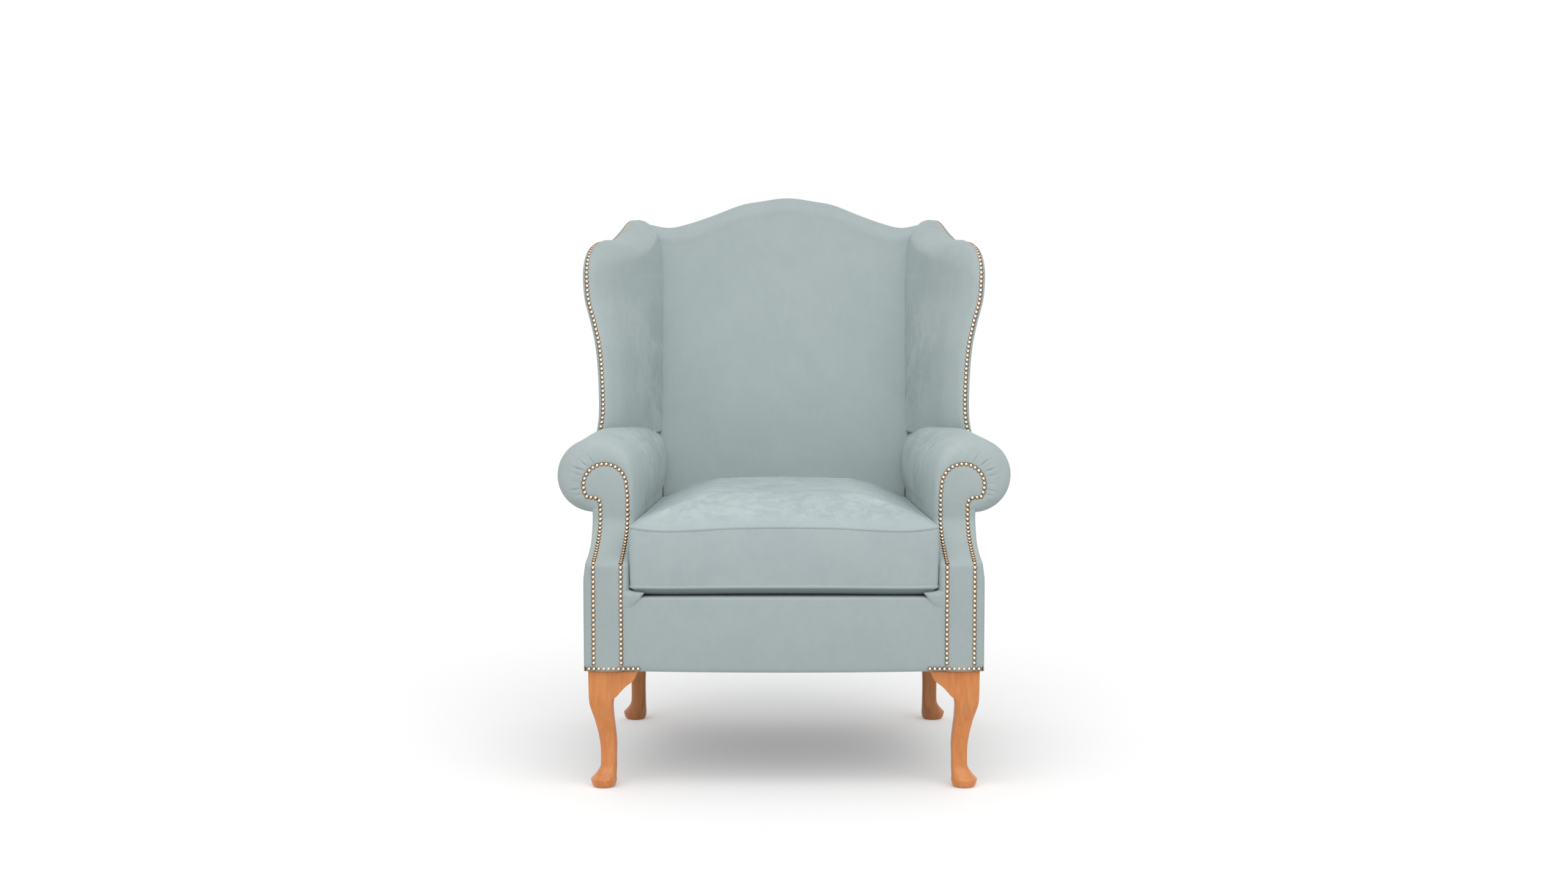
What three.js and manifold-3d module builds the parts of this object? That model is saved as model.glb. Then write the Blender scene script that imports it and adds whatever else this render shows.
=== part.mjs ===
// Wingback armchair with scroll arms, a loose seat cushion and cabriole legs, in millimetres.
// x runs to the right as seen from the front, y runs to the back and z runs up. While a piece is
// drawn, y counts from the front face of the seat; the finished chair is moved to its own centre.
// The right-hand pieces are drawn, and the left-hand ones are the same pieces mirrored.

import * as THREE from 'three';
import { LoftGeometry } from 'three/addons/geometries/LoftGeometry.js';
import { mergeVertices } from 'three/addons/utils/BufferGeometryUtils.js';
import Module from 'manifold-3d';

const wasm = await Module();
wasm.setup();

// Sizes that drive the whole chair.
const bodyHalfWidth = 358; // outside of the side cover at the front
const bodyBottom = 217; // underside of the seat frame, which the legs carry
const toeShare = 0.057; // each side closes in by this share of the way back
const seatDepth = 533; // front face to inside back, at the height of the upper piping
const backThickness = 99; // from there to the outside back, below the bend of the back posts
const rakeShare = 0.19; // lean of the back for every millimetre up
const deckRise = 135; // from the underside of the frame to the upholstered deck
const bendRise = 128; // and to where the back starts to lean
const pipingRise = 17; // from the deck to the lower piping of the cushion
const cushionBoxing = 111; // between the two lines of piping
const backHeight = 729; // from the deck to the top of the back at its middle
const backDepth = seatDepth + backThickness;
const deckZ = bodyBottom + deckRise;
const bendZ = bodyBottom + bendRise;
const pipingBottomZ = deckZ + pipingRise;
const pipingTopZ = pipingBottomZ + cushionBoxing;
const crestZ = deckZ + backHeight;

// Fits and finishes.
const gap = 0.3; // between pieces that lie against each other
const cover = 4.3; // covering fabric with its wadding
const inset = cover + gap; // from the outside of a cover to the frame behind it
const overrun = 40; // how far a cutting tool runs past what it cuts
const arcSteps = 5; // straight steps in a quarter turn

const material = (color, roughness, metalness = 0) => new THREE.MeshStandardMaterial({ color, roughness, metalness });
const fabric = material('#a3b2b1', 0.9);
const foam = material('#a9b6b6', 0.95);
const beech = material('#c9a06c', 0.7);
const stainedLeg = material('#c9814a', 0.45);
const agedBrass = material('#b79a76', 0.35, 1);
const springSteel = material('#6f7275', 0.4, 1);
const webbing = material('#4a4d52', 0.9);
const blackCloth = material('#24262a', 0.95);

// Outlines are lists of points, drawn in the plane that the extrusion leaves.
const at = (a, b) => new THREE.Vector2(a, b);
const distinct = (points) => points.filter((p, i) => p.distanceTo(points[(i || points.length) - 1]) > gap / 2);
const outlineOf = (points) => new THREE.Shape(distinct(points));
const rectangle = (a0, a1, b0, b1) => outlineOf([at(a0, b0), at(a1, b0), at(a1, b1), at(a0, b1)]);
const mirroredOutline = (half) => [...half, ...half.map((p) => at(-p.x, p.y)).reverse()];

function extrude(shape, length, options = {}) {
  const settings = { depth: length, bevelEnabled: false, curveSegments: arcSteps, ...options };
  return new THREE.ExtrudeGeometry(shape, settings);
}

// An outline in x and z carried from one y to another.
function alongY(shape, from, to) {
  return extrude(shape, to - from).rotateX(Math.PI / 2).translate(0, to, 0);
}

// An outline in y and z carried from one x to another.
function alongX(shape, from, to) {
  const turn = new THREE.Matrix4().makeBasis(
    new THREE.Vector3(0, 1, 0), new THREE.Vector3(0, 0, 1), new THREE.Vector3(1, 0, 0));
  return extrude(shape, to - from).applyMatrix4(turn).translate(from, 0, 0);
}

const alongZ = (shape, from, to) => extrude(shape, to - from).translate(0, 0, from);
const loft = (sections) => new LoftGeometry(sections, { capStart: true, capEnd: true });

// The lean of each side, as a shear.
const toeIn = new THREE.Matrix4().set(1, -toeShare, 0, 0, 0, 1, 0, 0, 0, 0, 1, 0, 0, 0, 0, 1);
const toed = (geometry) => geometry.applyMatrix4(toeIn);

// Joining and cutting.
function solidOf(geometry) {
  const bare = new THREE.BufferGeometry().setAttribute('position', geometry.attributes.position);
  const merged = mergeVertices(bare.setIndex(geometry.index));
  const mesh = { numProp: 3, vertProperties: merged.attributes.position.array };
  return new wasm.Manifold(new wasm.Mesh({ ...mesh, triVerts: new Uint32Array(merged.index.array) }));
}

function geometryOf(solid) {
  const { vertProperties, triVerts } = solid.getMesh();
  return new THREE.BufferGeometry()
    .setAttribute('position', new THREE.BufferAttribute(new Float32Array(vertProperties), 3))
    .setIndex(new THREE.BufferAttribute(new Uint32Array(triVerts), 1));
}

const cut = (piece, ...tools) => tools.reduce((rest, tool) => rest.subtract(tool), piece);

// The chair and its mirrored half.
const chair = new THREE.Group();
const leftHand = new THREE.Group();
leftHand.scale.set(-1, 1, 1);
chair.add(leftHand);

function place(group, name, shape, finish) {
  const geometry = shape.isBufferGeometry ? shape : geometryOf(shape);
  const mesh = new THREE.Mesh(geometry, finish);
  mesh.name = name;
  group.add(mesh);
  return mesh;
}

const mirrored = (solid) => solid.mirror([1, 0, 0]);
const single = (name, shape, finish) => place(chair, name, shape, finish);

function pair(name, shape, finish) {
  place(chair, name + '_right', shape, finish);
  place(leftHand, name + '_left', shape, finish);
}

// Back planes: the inside back that the sitter leans on, and the outside back.
const insideBackY = (z) => seatDepth + rakeShare * (z - pipingTopZ);
const outsideBackY = (z) => backDepth + rakeShare * Math.max(0, z - bendZ);

// Side profile of the arm front: upright at the scroll, then sweeping forward to the seat front.
const scrollSetback = 100;
const sweepFoot = 60; // where the sweep starts, above the deck
const sweepHeight = 72;
const sweepKneeY = 93; // control point that sets how full the sweep is
const sweepKnee = 33; // its height above the start
const sweepBottomZ = deckZ + sweepFoot;
const sweepTopZ = sweepBottomZ + sweepHeight;
const sweepKneeZ = sweepBottomZ + sweepKnee;

function frontProfile(back, bottom, top) {
  const line = new THREE.Path();
  line.moveTo(back, bottom);
  line.lineTo(back, sweepBottomZ - back);
  line.quadraticCurveTo(sweepKneeY + back, sweepKneeZ - back, scrollSetback + back, sweepTopZ);
  if (top > sweepTopZ) line.lineTo(scrollSetback + back, top);
  return line.getPoints(2 * arcSteps);
}

// The band between two depths behind the arm's front profile.
function frontBand(near, far, bottom, top) {
  return outlineOf([...frontProfile(near, bottom, top), ...frontProfile(far, bottom, top).reverse()]);
}

// Everything behind the arm's front profile, up to the outside back.
function sideSilhouette(near, bottom, top, far = inset) {
  const bend = bottom < bendZ ? [at(backDepth - far, bendZ)] : [];
  const back = [at(outsideBackY(top) - far, top), ...bend, at(outsideBackY(bottom) - far, bottom)];
  return outlineOf([...frontProfile(near, bottom, top), ...back]);
}

// A list of shares turned into sizes: each column is a start plus a span times its share.
const spread = (shares, ...columns) => shares.map((row) => columns.map(([start, span], i) => start + span * row[i]));

// The value of a two-column table at a place, straight between its rows.
function between(table, place, column = 1) {
  const after = table.findIndex((row) => row[0] >= place);
  if (after <= 0) return table[after === 0 ? 0 : table.length - 1][column];
  const [low, high] = [table[after - 1], table[after]];
  return low[column] + (high[column] - low[column]) * (place - low[0]) / (high[0] - low[0]);
}

// Seat frame: beech rails between the arm stumps at the front and the back posts behind.
const railHeight = 101;
const railThickness = 28;
const railTop = bodyBottom + railHeight;
const frontRailY = 12; // front face of the front rail
const outerFace = bodyHalfWidth - inset; // outer face of the side frames
const stumpWidth = 48;
const stumpInner = outerFace - stumpWidth;
const stumpBackY = 85; // back face of the stump, beside the seat
const postWidth = 38;
const postDepth = 45;
const postBackY = backDepth - inset;
const postFrontY = postBackY - postDepth;
const sideAt = (x, y) => x - toeShare * y;
const postOuter = sideAt(outerFace, backDepth);

const frontRailHalf = (y) => sideAt(stumpInner, y) - gap;
single('rail_front', alongZ(outlineOf(mirroredOutline([
  at(frontRailHalf(frontRailY), frontRailY),
  at(frontRailHalf(frontRailY + railThickness), frontRailY + railThickness),
])), bodyBottom, railTop), beech);
const rearRailHalf = postOuter - postWidth - gap;
const rearRailY = postBackY - railThickness;
single('rail_back', alongZ(rectangle(-rearRailHalf, rearRailHalf, rearRailY, postBackY), bodyBottom, railTop), beech);
pair('rail_side', toed(alongZ(rectangle(outerFace - railThickness, outerFace, stumpBackY + gap, postFrontY - gap),
  bodyBottom, railTop)), beech);

// Corner blocks: glued triangles that brace the rails.
const blockLeg = 72;
const blockHeight = 38;
const blockDrop = 30; // below the tops of the rails

function cornerBlock(x, y, towardBack) {
  const corner = outlineOf([at(x, y), at(x - blockLeg, y), at(x, y + towardBack * blockLeg)]);
  return alongZ(corner, railTop - blockDrop - blockHeight, railTop - blockDrop);
}

const blockX = outerFace - railThickness - gap;
const frontBlockX = sideAt(stumpInner, stumpBackY) - gap;
const rearBlockX = Math.min(sideAt(blockX, postFrontY), rearRailHalf) - gap;
pair('corner_block_front', cornerBlock(frontBlockX, frontRailY + railThickness + gap, 1), beech);
pair('corner_block_rear', cornerBlock(rearBlockX, rearRailY - gap, -1), beech);

// Arm: a beech stump and a flat arm board, inside a padded roll.
const facingThickness = 6;
const stumpSetback = facingThickness + gap;
const stumpNeck = 60; // front to back, below the arm board
const stumpSwell = 30; // how far the back of the stump bellies out above the seat
const boardThickness = 22;
const boardRise = 178; // from the deck to the underside of the arm board
const boardWidth = 64;
const boardOverhang = 18.6; // how far the board passes the outside of the stump
const boardBottom = deckZ + boardRise;
const boardOuter = outerFace + boardOverhang;
const boardInner = boardOuter - boardWidth;

// The padded roll over the board.
const armThickness = 80.7; // from the outside of the side cover to the inner face of the arm
const armWall = 26; // thickness of the padded inner wall
const rollInset = 3.2; // axis of the roll, inside the side cover
const rollRise = 33; // and above the underside of the board
const rollRadius = 66.5;
const rollRearRadius = 50;
const armInner = bodyHalfWidth - armThickness;
const rollX = bodyHalfWidth - rollInset;
const rollZ = boardBottom + rollRise;
const rollTop = rollZ + rollRadius;

function stumpProfile() {
  const top = boardBottom - gap;
  const line = new THREE.Path();
  line.moveTo(scrollSetback + stumpSetback + stumpNeck, top);
  line.quadraticCurveTo(scrollSetback + stumpNeck, sweepBottomZ + stumpSwell, stumpBackY, railTop);
  line.lineTo(stumpBackY, bodyBottom);
  return outlineOf([...frontProfile(stumpSetback, bodyBottom, top), ...line.getPoints(arcSteps)]);
}

// Hanger bolts run up out of the legs into the posts above them.
const kneeWidth = 50; // thickness of a front leg at its top
const rearKneeWidth = 44;
const kneeInset = 0.4; // legs stand this far inside the faces of the frame
const frontLegX = outerFace - kneeInset;
const frontLegY = stumpSetback + kneeInset;
const rearLegX = postOuter - kneeInset;
const rearLegY = postBackY - kneeInset;
const boltRadius = 4;
const boltReach = 34; // into the leg, and as far into the frame
const boltSides = 10;

function bolt(slack, x, y) {
  const reach = boltReach + slack;
  return new THREE.CylinderGeometry(boltRadius + slack, boltRadius + slack, 2 * reach, boltSides)
    .rotateX(Math.PI / 2).translate(x, y, bodyBottom);
}
const frontBolt = (slack) => bolt(slack, frontLegX - kneeWidth / 2, frontLegY + kneeWidth / 2);
const rearBolt = (slack) => bolt(slack, rearLegX - rearKneeWidth / 2, rearLegY - rearKneeWidth / 2);
pair('hanger_bolt_front', frontBolt(0), springSteel);
pair('hanger_bolt_rear', rearBolt(0), springSteel);

const stump = (slack) => solidOf(toed(alongX(stumpProfile(), stumpInner - slack, outerFace + slack)));
pair('arm_stump', cut(stump(0), solidOf(frontBolt(gap))), beech);

// Back frame: two posts that lean back from the seat, a serpentine crest rail and a lower rail.
const postDrop = 96; // from the crest down to the tops of the posts
const postInset = 58; // outer faces of the posts at their tops, inside the side cover
const postTop = crestZ - postDrop;
const postTopOuter = bodyHalfWidth - postInset;

function backPost(slack) {
  const section = (x, y, z) => [[x + slack, y - postDepth - slack], [x + slack, y + slack],
    [x - postWidth - slack, y + slack], [x - postWidth - slack, y - postDepth - slack]]
    .map(([a, b]) => new THREE.Vector3(a, b, z));
  return solidOf(loft([
    section(postOuter, postBackY, bodyBottom),
    section(postOuter, postBackY, bendZ),
    section(postTopOuter, outsideBackY(postTop) - inset, postTop),
  ]));
}
const postSpace = backPost(gap);
pair('back_post', cut(backPost(0), solidOf(rearBolt(gap))), beech);

const armBoard = (slack) => solidOf(toed(alongZ(rectangle(boardInner - slack, boardOuter + slack,
  scrollSetback + stumpSetback - slack, outsideBackY(boardBottom) - inset - postDepth - gap + slack),
  boardBottom - slack, boardBottom + boardThickness + slack)));
pair('arm_board', armBoard(0), beech);

const crestInset = 52; // ends of the crest, where the wings start, inside the side cover
const crestCorner = bodyHalfWidth - crestInset;
const crestHump = 60; // rise of the camel back over its lowest point
const crestShares = [[0, 1], [0.19, 0.878], [0.318, 0.75], [0.488, 0.415], [0.658, 0.125], [0.796, 0],
  [0.935, 0.125], [1, 0.22]];
const crestSteps = 12;
const crestCurve = new THREE.SplineCurve(crestShares
  .map(([reach, height]) => at(reach * crestCorner, crestZ - crestHump * (1 - height))));
const crestHeights = crestCurve.getPoints(2 * crestSteps).map((p) => [p.x, p.y]);
const crestAt = (x) => between(crestHeights, Math.abs(x));

const crestPad = 16; // padding over the crest rail
const crestRailDepth = 150; // from the top of its hump down
const railBoard = 30; // thickness of the crest rail and the lower rail
const lowerRailRise = 43; // above the deck
const lowerRailHeight = 50;
const lowerRailZ = deckZ + lowerRailRise;

// The band between two depths inside the outside back, from one height to another.
function backBand(near, far, bottom, top) {
  const heights = [bottom, ...(bottom < bendZ ? [bendZ] : []), top];
  const line = (depth) => heights.map((z) => at(outsideBackY(z) - depth, z));
  return solidOf(alongX(outlineOf([...line(far), ...line(near).reverse()]), -bodyHalfWidth, bodyHalfWidth));
}

// A board with the given front outline, kept to the depth of the frame. It fits between the posts.
function backBoard(points, slack) {
  const across = solidOf(alongY(outlineOf(points), 0, backDepth + bodyHalfWidth));
  return across.intersect(backBand(inset - slack, inset + railBoard + slack, bendZ, crestZ));
}
const fitPosts = (solid) => cut(solid, postSpace, mirrored(postSpace));
const halfRail = postTopOuter - postWidth / 2;
const crestStations = Array.from({ length: crestSteps + 1 }, (_, i) => halfRail * i / crestSteps);
const crestRail = (slack) => backBoard(mirroredOutline([
  at(0, crestZ - crestPad - crestRailDepth - slack), at(halfRail + slack, crestZ - crestPad - crestRailDepth - slack),
  ...crestStations.toReversed().map((x, i) => at(i ? x : x + slack, crestAt(x) - crestPad + slack)),
]), slack);
const lowerRail = (slack) => backBoard([at(-halfRail, lowerRailZ - slack), at(halfRail, lowerRailZ - slack),
  at(halfRail, lowerRailZ + lowerRailHeight + slack), at(-halfRail, lowerRailZ + lowerRailHeight + slack)], slack);
single('crest_rail', fitPosts(crestRail(0)), beech);
single('lower_back_rail', fitPosts(lowerRail(0)), beech);

// Wing: a twisted board that flares out towards its front edge. Its outer face runs straight from
// the front edge to the corner of the outside back, at every height.
const wingSink = 29.5; // from the top of the arm down to the foot of the wing
const wingDrop = 93; // from the crest down to the top of the ear
const wingFlare = 33; // how much wider the front edge grows from just above the arm to the ear
const wingReach = 183; // from the inside back forward to the front edge
const wingLean = 42; // the front edge leans back by this much up to the ear
const wingFootZ = rollTop - wingSink;
const wingTopZ = crestZ - wingDrop;
const wingFrontY = seatDepth - wingReach;
const wingHeight = wingTopZ - wingFootZ;
const wingEdgeShares = [[-0.11, 0.45, -0.07], [0, 0.33, -0.03], [0.134, 0.03, 0.07], [0.299, 0.05, 0.286],
  [0.461, 0.206, 0.476], [0.577, 0.476, 0.643], [0.647, 0.694, 0.714], [0.716, 0.903, 0.81], [0.812, 1, 0.905],
  [0.93, 1.02, 0.98], [1.15, 1.02, 1.05]];
const wingEdge = spread(wingEdgeShares, [wingFootZ, wingHeight], [bodyHalfWidth, wingFlare], [wingFrontY, wingLean]);
const crestDropShares = [[0, 0], [0.9, 0], [1.15, 1]]; // the wing's rear corner runs in to the crest's corner
const rearCorner = spread(crestDropShares, [wingFootZ, wingHeight],
  [0, sideAt(bodyHalfWidth, outsideBackY(wingTopZ)) - crestCorner]);

const wingEdgeX = (z) => between(wingEdge, z, 1);
const wingEdgeY = (z) => between(wingEdge, z, 2);
const wingRearX = (z) => sideAt(bodyHalfWidth, outsideBackY(z)) - between(rearCorner, z);

// Outer face of the wing's cover at a depth and a height.
function wingX(y, z) {
  const share = (y - wingEdgeY(z)) / (outsideBackY(z) - wingEdgeY(z));
  return wingEdgeX(z) + share * (wingRearX(z) - wingEdgeX(z));
}

const earRound = 92; // length of the round corner of the wing, front to back
const earRoundHeight = 73;
const earSquareness = 6; // how far the round corner stays inside a square one
const peakSetback = 67; // behind the inside back's foot, where the wing starts to climb to the crest
const peakDrop = 77; // and below the crest
const crestFrontDrop = 45; // from the crest down to the top of the wing where it meets the back
const wingPeakY = seatDepth + peakSetback;
const wingPeakZ = crestZ - peakDrop;
const crestFrontZ = crestZ - crestFrontDrop;

// The wing seen from the side, shrunk or grown by an offset at its front and its top.
function wingSide(offset) {
  const roundZ = wingTopZ - earRoundHeight;
  const start = wingEdgeY(roundZ);
  const line = new THREE.Path();
  line.moveTo(wingEdgeY(wingEdge[0][0]) + offset, wingEdge[0][0]);
  wingEdge.filter(([z]) => z > wingEdge[0][0] && z < roundZ).forEach(([z, , y]) => line.lineTo(y + offset, z));
  line.lineTo(start + offset, roundZ);
  line.quadraticCurveTo(start + earSquareness + offset, wingTopZ - earSquareness - offset,
    start + earRound, wingTopZ - offset);
  line.lineTo(wingPeakY, wingPeakZ - offset);
  line.lineTo(outsideBackY(crestFrontZ) - postDepth, crestFrontZ - offset);
  return line.getPoints(arcSteps + 1);
}
const wingRearLine = (offset) => [at(outsideBackY(crestFrontZ - offset) - inset, crestFrontZ - offset),
  at(outsideBackY(wingEdge[0][0]) - inset, wingEdge[0][0])];
const wingOutline = (offset) => solidOf(alongX(outlineOf([...wingSide(offset), ...wingRearLine(offset)]),
  0, bodyHalfWidth + crestCorner));

// Parting face between the back pad and the wing pads, as half widths from the deck to the crest.
const creaseInset = 111; // from the side cover in to the parting face at its narrowest
const creaseFlare = 46;
const creaseNarrow = bodyHalfWidth - creaseInset;
const creaseShares = [[0, 0], [0.752, 0], [0.822, 0.11], [0.874, 0.31], [0.914, 0.64], [0.935, 1], [1.02, 1]];
const crease = spread(creaseShares, [deckZ, crestZ - deckZ], [creaseNarrow, creaseFlare]);
const creaseOutline = (slack) => solidOf(alongY(outlineOf(mirroredOutline(
  crease.map(([z, x]) => at(x + slack, z)))), 0, backDepth + bodyHalfWidth));

// Arm pad: an inner wall from the deck up, and a roll over the arm board with a rounded front.
const shoulderDrop = 28; // the inner wall starts to round over this far below the roll's axis
const shoulderZ = rollZ - shoulderDrop;
const rollFrontRound = 24;
const rollRearRound = 12;
const padSetback = 2; // the padding's front lies this far behind the face of the facing
const rollFrontY = scrollSetback + padSetback;

function rollSection(y, radius, shrink) {
  const centre = rollTop - radius;
  const line = new THREE.Path();
  line.moveTo(armInner + shrink / 2, rollZ - rollRadius + shrink);
  line.lineTo(armInner + shrink / 2, shoulderZ);
  line.quadraticCurveTo(armInner + shrink, rollTop - shrink, rollX, rollTop - shrink);
  line.absarc(rollX, centre, radius - shrink, Math.PI / 2, -Math.PI / 2, true);
  return distinct(line.getPoints(arcSteps)).map((p) => new THREE.Vector3(p.x, y, p.y));
}

function armPadBody(slack) {
  const steps = [0, 1, 2, 3].map((i) => Math.PI / 2 * i / 3);
  const front = steps.map((turn) => rollSection(rollFrontY - slack + rollFrontRound * (1 - Math.cos(turn)),
    rollRadius, rollFrontRound * (1 - Math.sin(turn)) - slack));
  const rear = [rollSection(outsideBackY(rollZ) - inset - rollRearRound, rollRearRadius, -slack),
    rollSection(outsideBackY(rollTop) - inset, rollRearRadius, rollRearRound - slack)];
  const roll = solidOf(toed(loft([...front, ...rear])));
  const wall = solidOf(toed(alongX(sideSilhouette(padSetback, deckZ + gap, shoulderZ - gap),
    armInner - slack, armInner + armWall)));
  const behind = solidOf(alongX(outlineOf([at(-overrun, deckZ), at(outsideBackY(deckZ) - inset + slack, deckZ),
    at(outsideBackY(rollTop + overrun) - inset + slack, rollTop + overrun), at(-overrun, rollTop + overrun)]),
    0, bodyHalfWidth + 2 * overrun));
  return roll.add(wall).intersect(behind);
}
const armPadSpace = armPadBody(gap);

// Facing: a padded panel on the front of the arm, with a scroll at its head.
const stripInset = 16.2; // outer stud line of the strip, inside the side cover
const stripWidth = 49.2; // between the stud lines
const scrollRadius = 39;
const scrollStep = 2.1; // the scroll starts this far outside the inner stud line
const scrollDrop = 20; // centre of the scroll, below the roll's axis
const neckDrop = 38; // and from there to where the outer side of the strip turns into the scroll
const studEdge = 5.5; // from the stud line to the edge of the facing
const stripOuter = bodyHalfWidth - stripInset;
const stripInner = stripOuter - stripWidth;
const scrollX = stripInner + scrollStep + scrollRadius;
const scrollZ = rollZ - scrollDrop;
const neckZ = scrollZ - neckDrop;
const scrollNeckTurn = Math.PI / 5; // how far the scroll turns under before it joins the strip

// Line of the studs on the facing, grown by an offset.
function facingLine(offset, bottom) {
  const radius = scrollRadius + offset;
  const outer = stripOuter + offset;
  const line = new THREE.Path();
  line.moveTo(stripInner - offset, bottom);
  line.lineTo(stripInner - offset, scrollZ - scrollRadius / 2);
  line.absarc(scrollX, scrollZ, radius, Math.PI, -scrollNeckTurn, true);
  line.quadraticCurveTo(outer, neckZ + scrollRadius / 2, outer, neckZ - offset);
  line.lineTo(outer, bottom);
  return line.getPoints(2 * arcSteps);
}
const facing = (slack) => solidOf(toed(alongY(outlineOf(facingLine(studEdge + slack, bodyBottom)), -overrun,
  scrollSetback + overrun)));
const frontSheet = (near, far, from, to, bottom, top) => solidOf(toed(
  alongX(frontBand(near, far, bottom, top), from, to)));
const facingTop = scrollZ + scrollRadius + overrun;
pair('arm_facing', facing(0).intersect(frontSheet(0, facingThickness, boardInner - overrun, boardOuter + overrun,
  bodyBottom, facingTop)), fabric);
const facingSpace = facing(gap).intersect(frontSheet(-overrun, facingThickness + gap, boardInner - overrun,
  boardOuter + overrun, bodyBottom - overrun, facingTop));

// Studs run along the facing in one close row, drawn here as a raised band.
const studWidth = 7.8;
const studProud = 2.6;
const footStudRise = 5; // the row of studs along the foot of the seat, above its underside
const footStudZ = bodyBottom + footStudRise;
const studStart = footStudZ + studWidth / 2 + gap;

function ribbon(line, width) {
  const sides = line.map((p, i) => {
    const [before, after] = [line[Math.max(0, i - 1)], line[Math.min(line.length - 1, i + 1)]];
    const across = at(before.y - after.y, after.x - before.x).normalize().multiplyScalar(width / 2);
    return [p.clone().add(across), p.clone().sub(across)];
  });
  return outlineOf([...sides.map((s) => s[0]), ...sides.map((s) => s[1]).reverse()]);
}
const studBand = (line) => solidOf(toed(alongY(ribbon(line, studWidth), -overrun, scrollSetback + overrun)));
pair('arm_studs', studBand(facingLine(0, studStart)).intersect(frontSheet(-gap - studProud, -gap,
  boardInner - overrun, boardOuter + overrun, bodyBottom, facingTop)), agedBrass);

// Outside arm: the cover from the seat frame up to the roll, turned round onto the front.
const sideCoverTop = rollZ - rollRadius - gap;
const coverReturn = bodyHalfWidth - stripOuter - studEdge - gap; // width of its front return
const sideCover = solidOf(toed(alongX(sideSilhouette(padSetback, bodyBottom, rollZ),
  outerFace + gap, bodyHalfWidth)));
const coverFront = frontSheet(padSetback, facingThickness, bodyHalfWidth - coverReturn, bodyHalfWidth,
  bodyBottom, sideCoverTop);
pair('outside_arm', cut(sideCover.add(coverFront), facingSpace, armPadSpace, stump(gap)), fabric);

// Wing cover, wing frame and wing pad.
const wingRows = wingEdge.map((row) => row[0]);
const wingColumns = [0, 0.1, 0.25, 0.5, 0.75, 1];
const wingPoint = (share, z, inward) => {
  const y = wingEdgeY(z) + share * (outsideBackY(z) - wingEdgeY(z));
  return new THREE.Vector3(wingX(y, z) - inward, y, z);
};

function wingShell(slack) {
  const section = (z) => [...wingColumns.map((share) => wingPoint(share, z, -slack)),
    ...wingColumns.toReversed().map((share) => wingPoint(share, z, cover + slack))];
  return solidOf(loft(wingRows.map(section)));
}
const wingSpace = wingShell(gap);

const wingBoard = 20; // thickness of the wing's frame
const wingPostDepth = 42; // front to back
const wingWadding = 12; // padding in front of the post and over the rail
const wingRailHeight = 34;
const wingRailTop = wingTopZ - wingWadding - earRoundHeight / 2;
const wingRailBottom = wingRailTop - wingRailHeight;
const boardTop = boardBottom + boardThickness;

// With a slack it is the space that the padding leaves for the frame, open towards the cover.
function wingFrame(from, to, heights, slack) {
  const open = slack > 0 ? cover : 0;
  const section = (z) => {
    const near = wingEdgeY(z) + from - slack;
    const far = Math.min(wingEdgeY(z) + to, outsideBackY(z) - inset - postDepth / 2) + slack;
    return [[near, -open], [far, -open], [far, wingBoard + slack], [near, wingBoard + slack]]
      .map(([y, inward]) => new THREE.Vector3(wingX(y, z) - inset - inward, y, z));
  };
  return solidOf(loft(heights.map(section)));
}
const wingPostFoot = boardTop + gap;
const wingPostHead = wingRailBottom - gap;
const wingPost = (slack) => wingFrame(wingWadding, wingWadding + wingPostDepth, [wingPostFoot - slack,
  ...wingRows.filter((z) => z > wingPostFoot && z < wingPostHead), wingPostHead + slack], slack);
const wingRail = (slack) => wingFrame(wingWadding + earRound / 4, backDepth,
  [wingRailBottom - slack, wingRailTop + slack], slack);
pair('wing_post', cut(wingPost(0), wingSpace), beech);
pair('wing_rail', cut(wingRail(0), wingSpace, postSpace), beech);

const wingRoll = 32; // width of the padded front edge of the wing
const wingSwell = 10; // swell of the padding on the wing's inner face
const wingPadShares = [[0.4, 0], [0.75, 0.12], [1, 0.5]]; // the roll's round front: inward, and back from the edge

function wingPadSection(z) {
  const [front, rear] = [wingEdgeY(z), outsideBackY(z) - inset];
  const edge = wingX(front, z) - inset;
  const heel = new THREE.Vector2(between(crease, z) + gap, insideBackY(z));
  const nose = new THREE.Vector2(edge - wingRoll, front + wingRoll / 2);
  const inner = [1, 2, 3].map((i) => i / 4).map((share) => nose.clone().lerp(heel, share)
    .add(at(-wingSwell * Math.sin(Math.PI * share), 0)));
  const outer = wingColumns.slice(1).map((share) => {
    const y = front + share * (rear - front);
    return at(wingX(y, z) - inset, y);
  });
  const round = wingPadShares.map(([a, b]) => at(edge - a * wingRoll, front + b * wingRoll)).reverse();
  const points = [at(edge, front), ...outer, at(heel.x, rear), heel, ...inner.reverse(), ...round];
  return points.map((p) => new THREE.Vector3(p.x, p.y, z));
}
const wingPad = solidOf(loft(wingRows.map(wingPadSection))).intersect(wingOutline(0));
pair('wing_pad', cut(wingPad, wingSpace, armPadSpace, postSpace, creaseOutline(gap), wingPost(gap),
  wingRail(gap), crestRail(gap)), foam);

pair('arm_pad', cut(armPadBody(0), stump(gap), armBoard(gap), postSpace, facingSpace, wingPost(gap),
  lowerRail(gap)), foam);

const coverSetback = 2; // the wing's cover ends this far behind its padding
pair('outside_wing', cut(wingShell(0).intersect(wingOutline(coverSetback)), armPadSpace), fabric);

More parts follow.
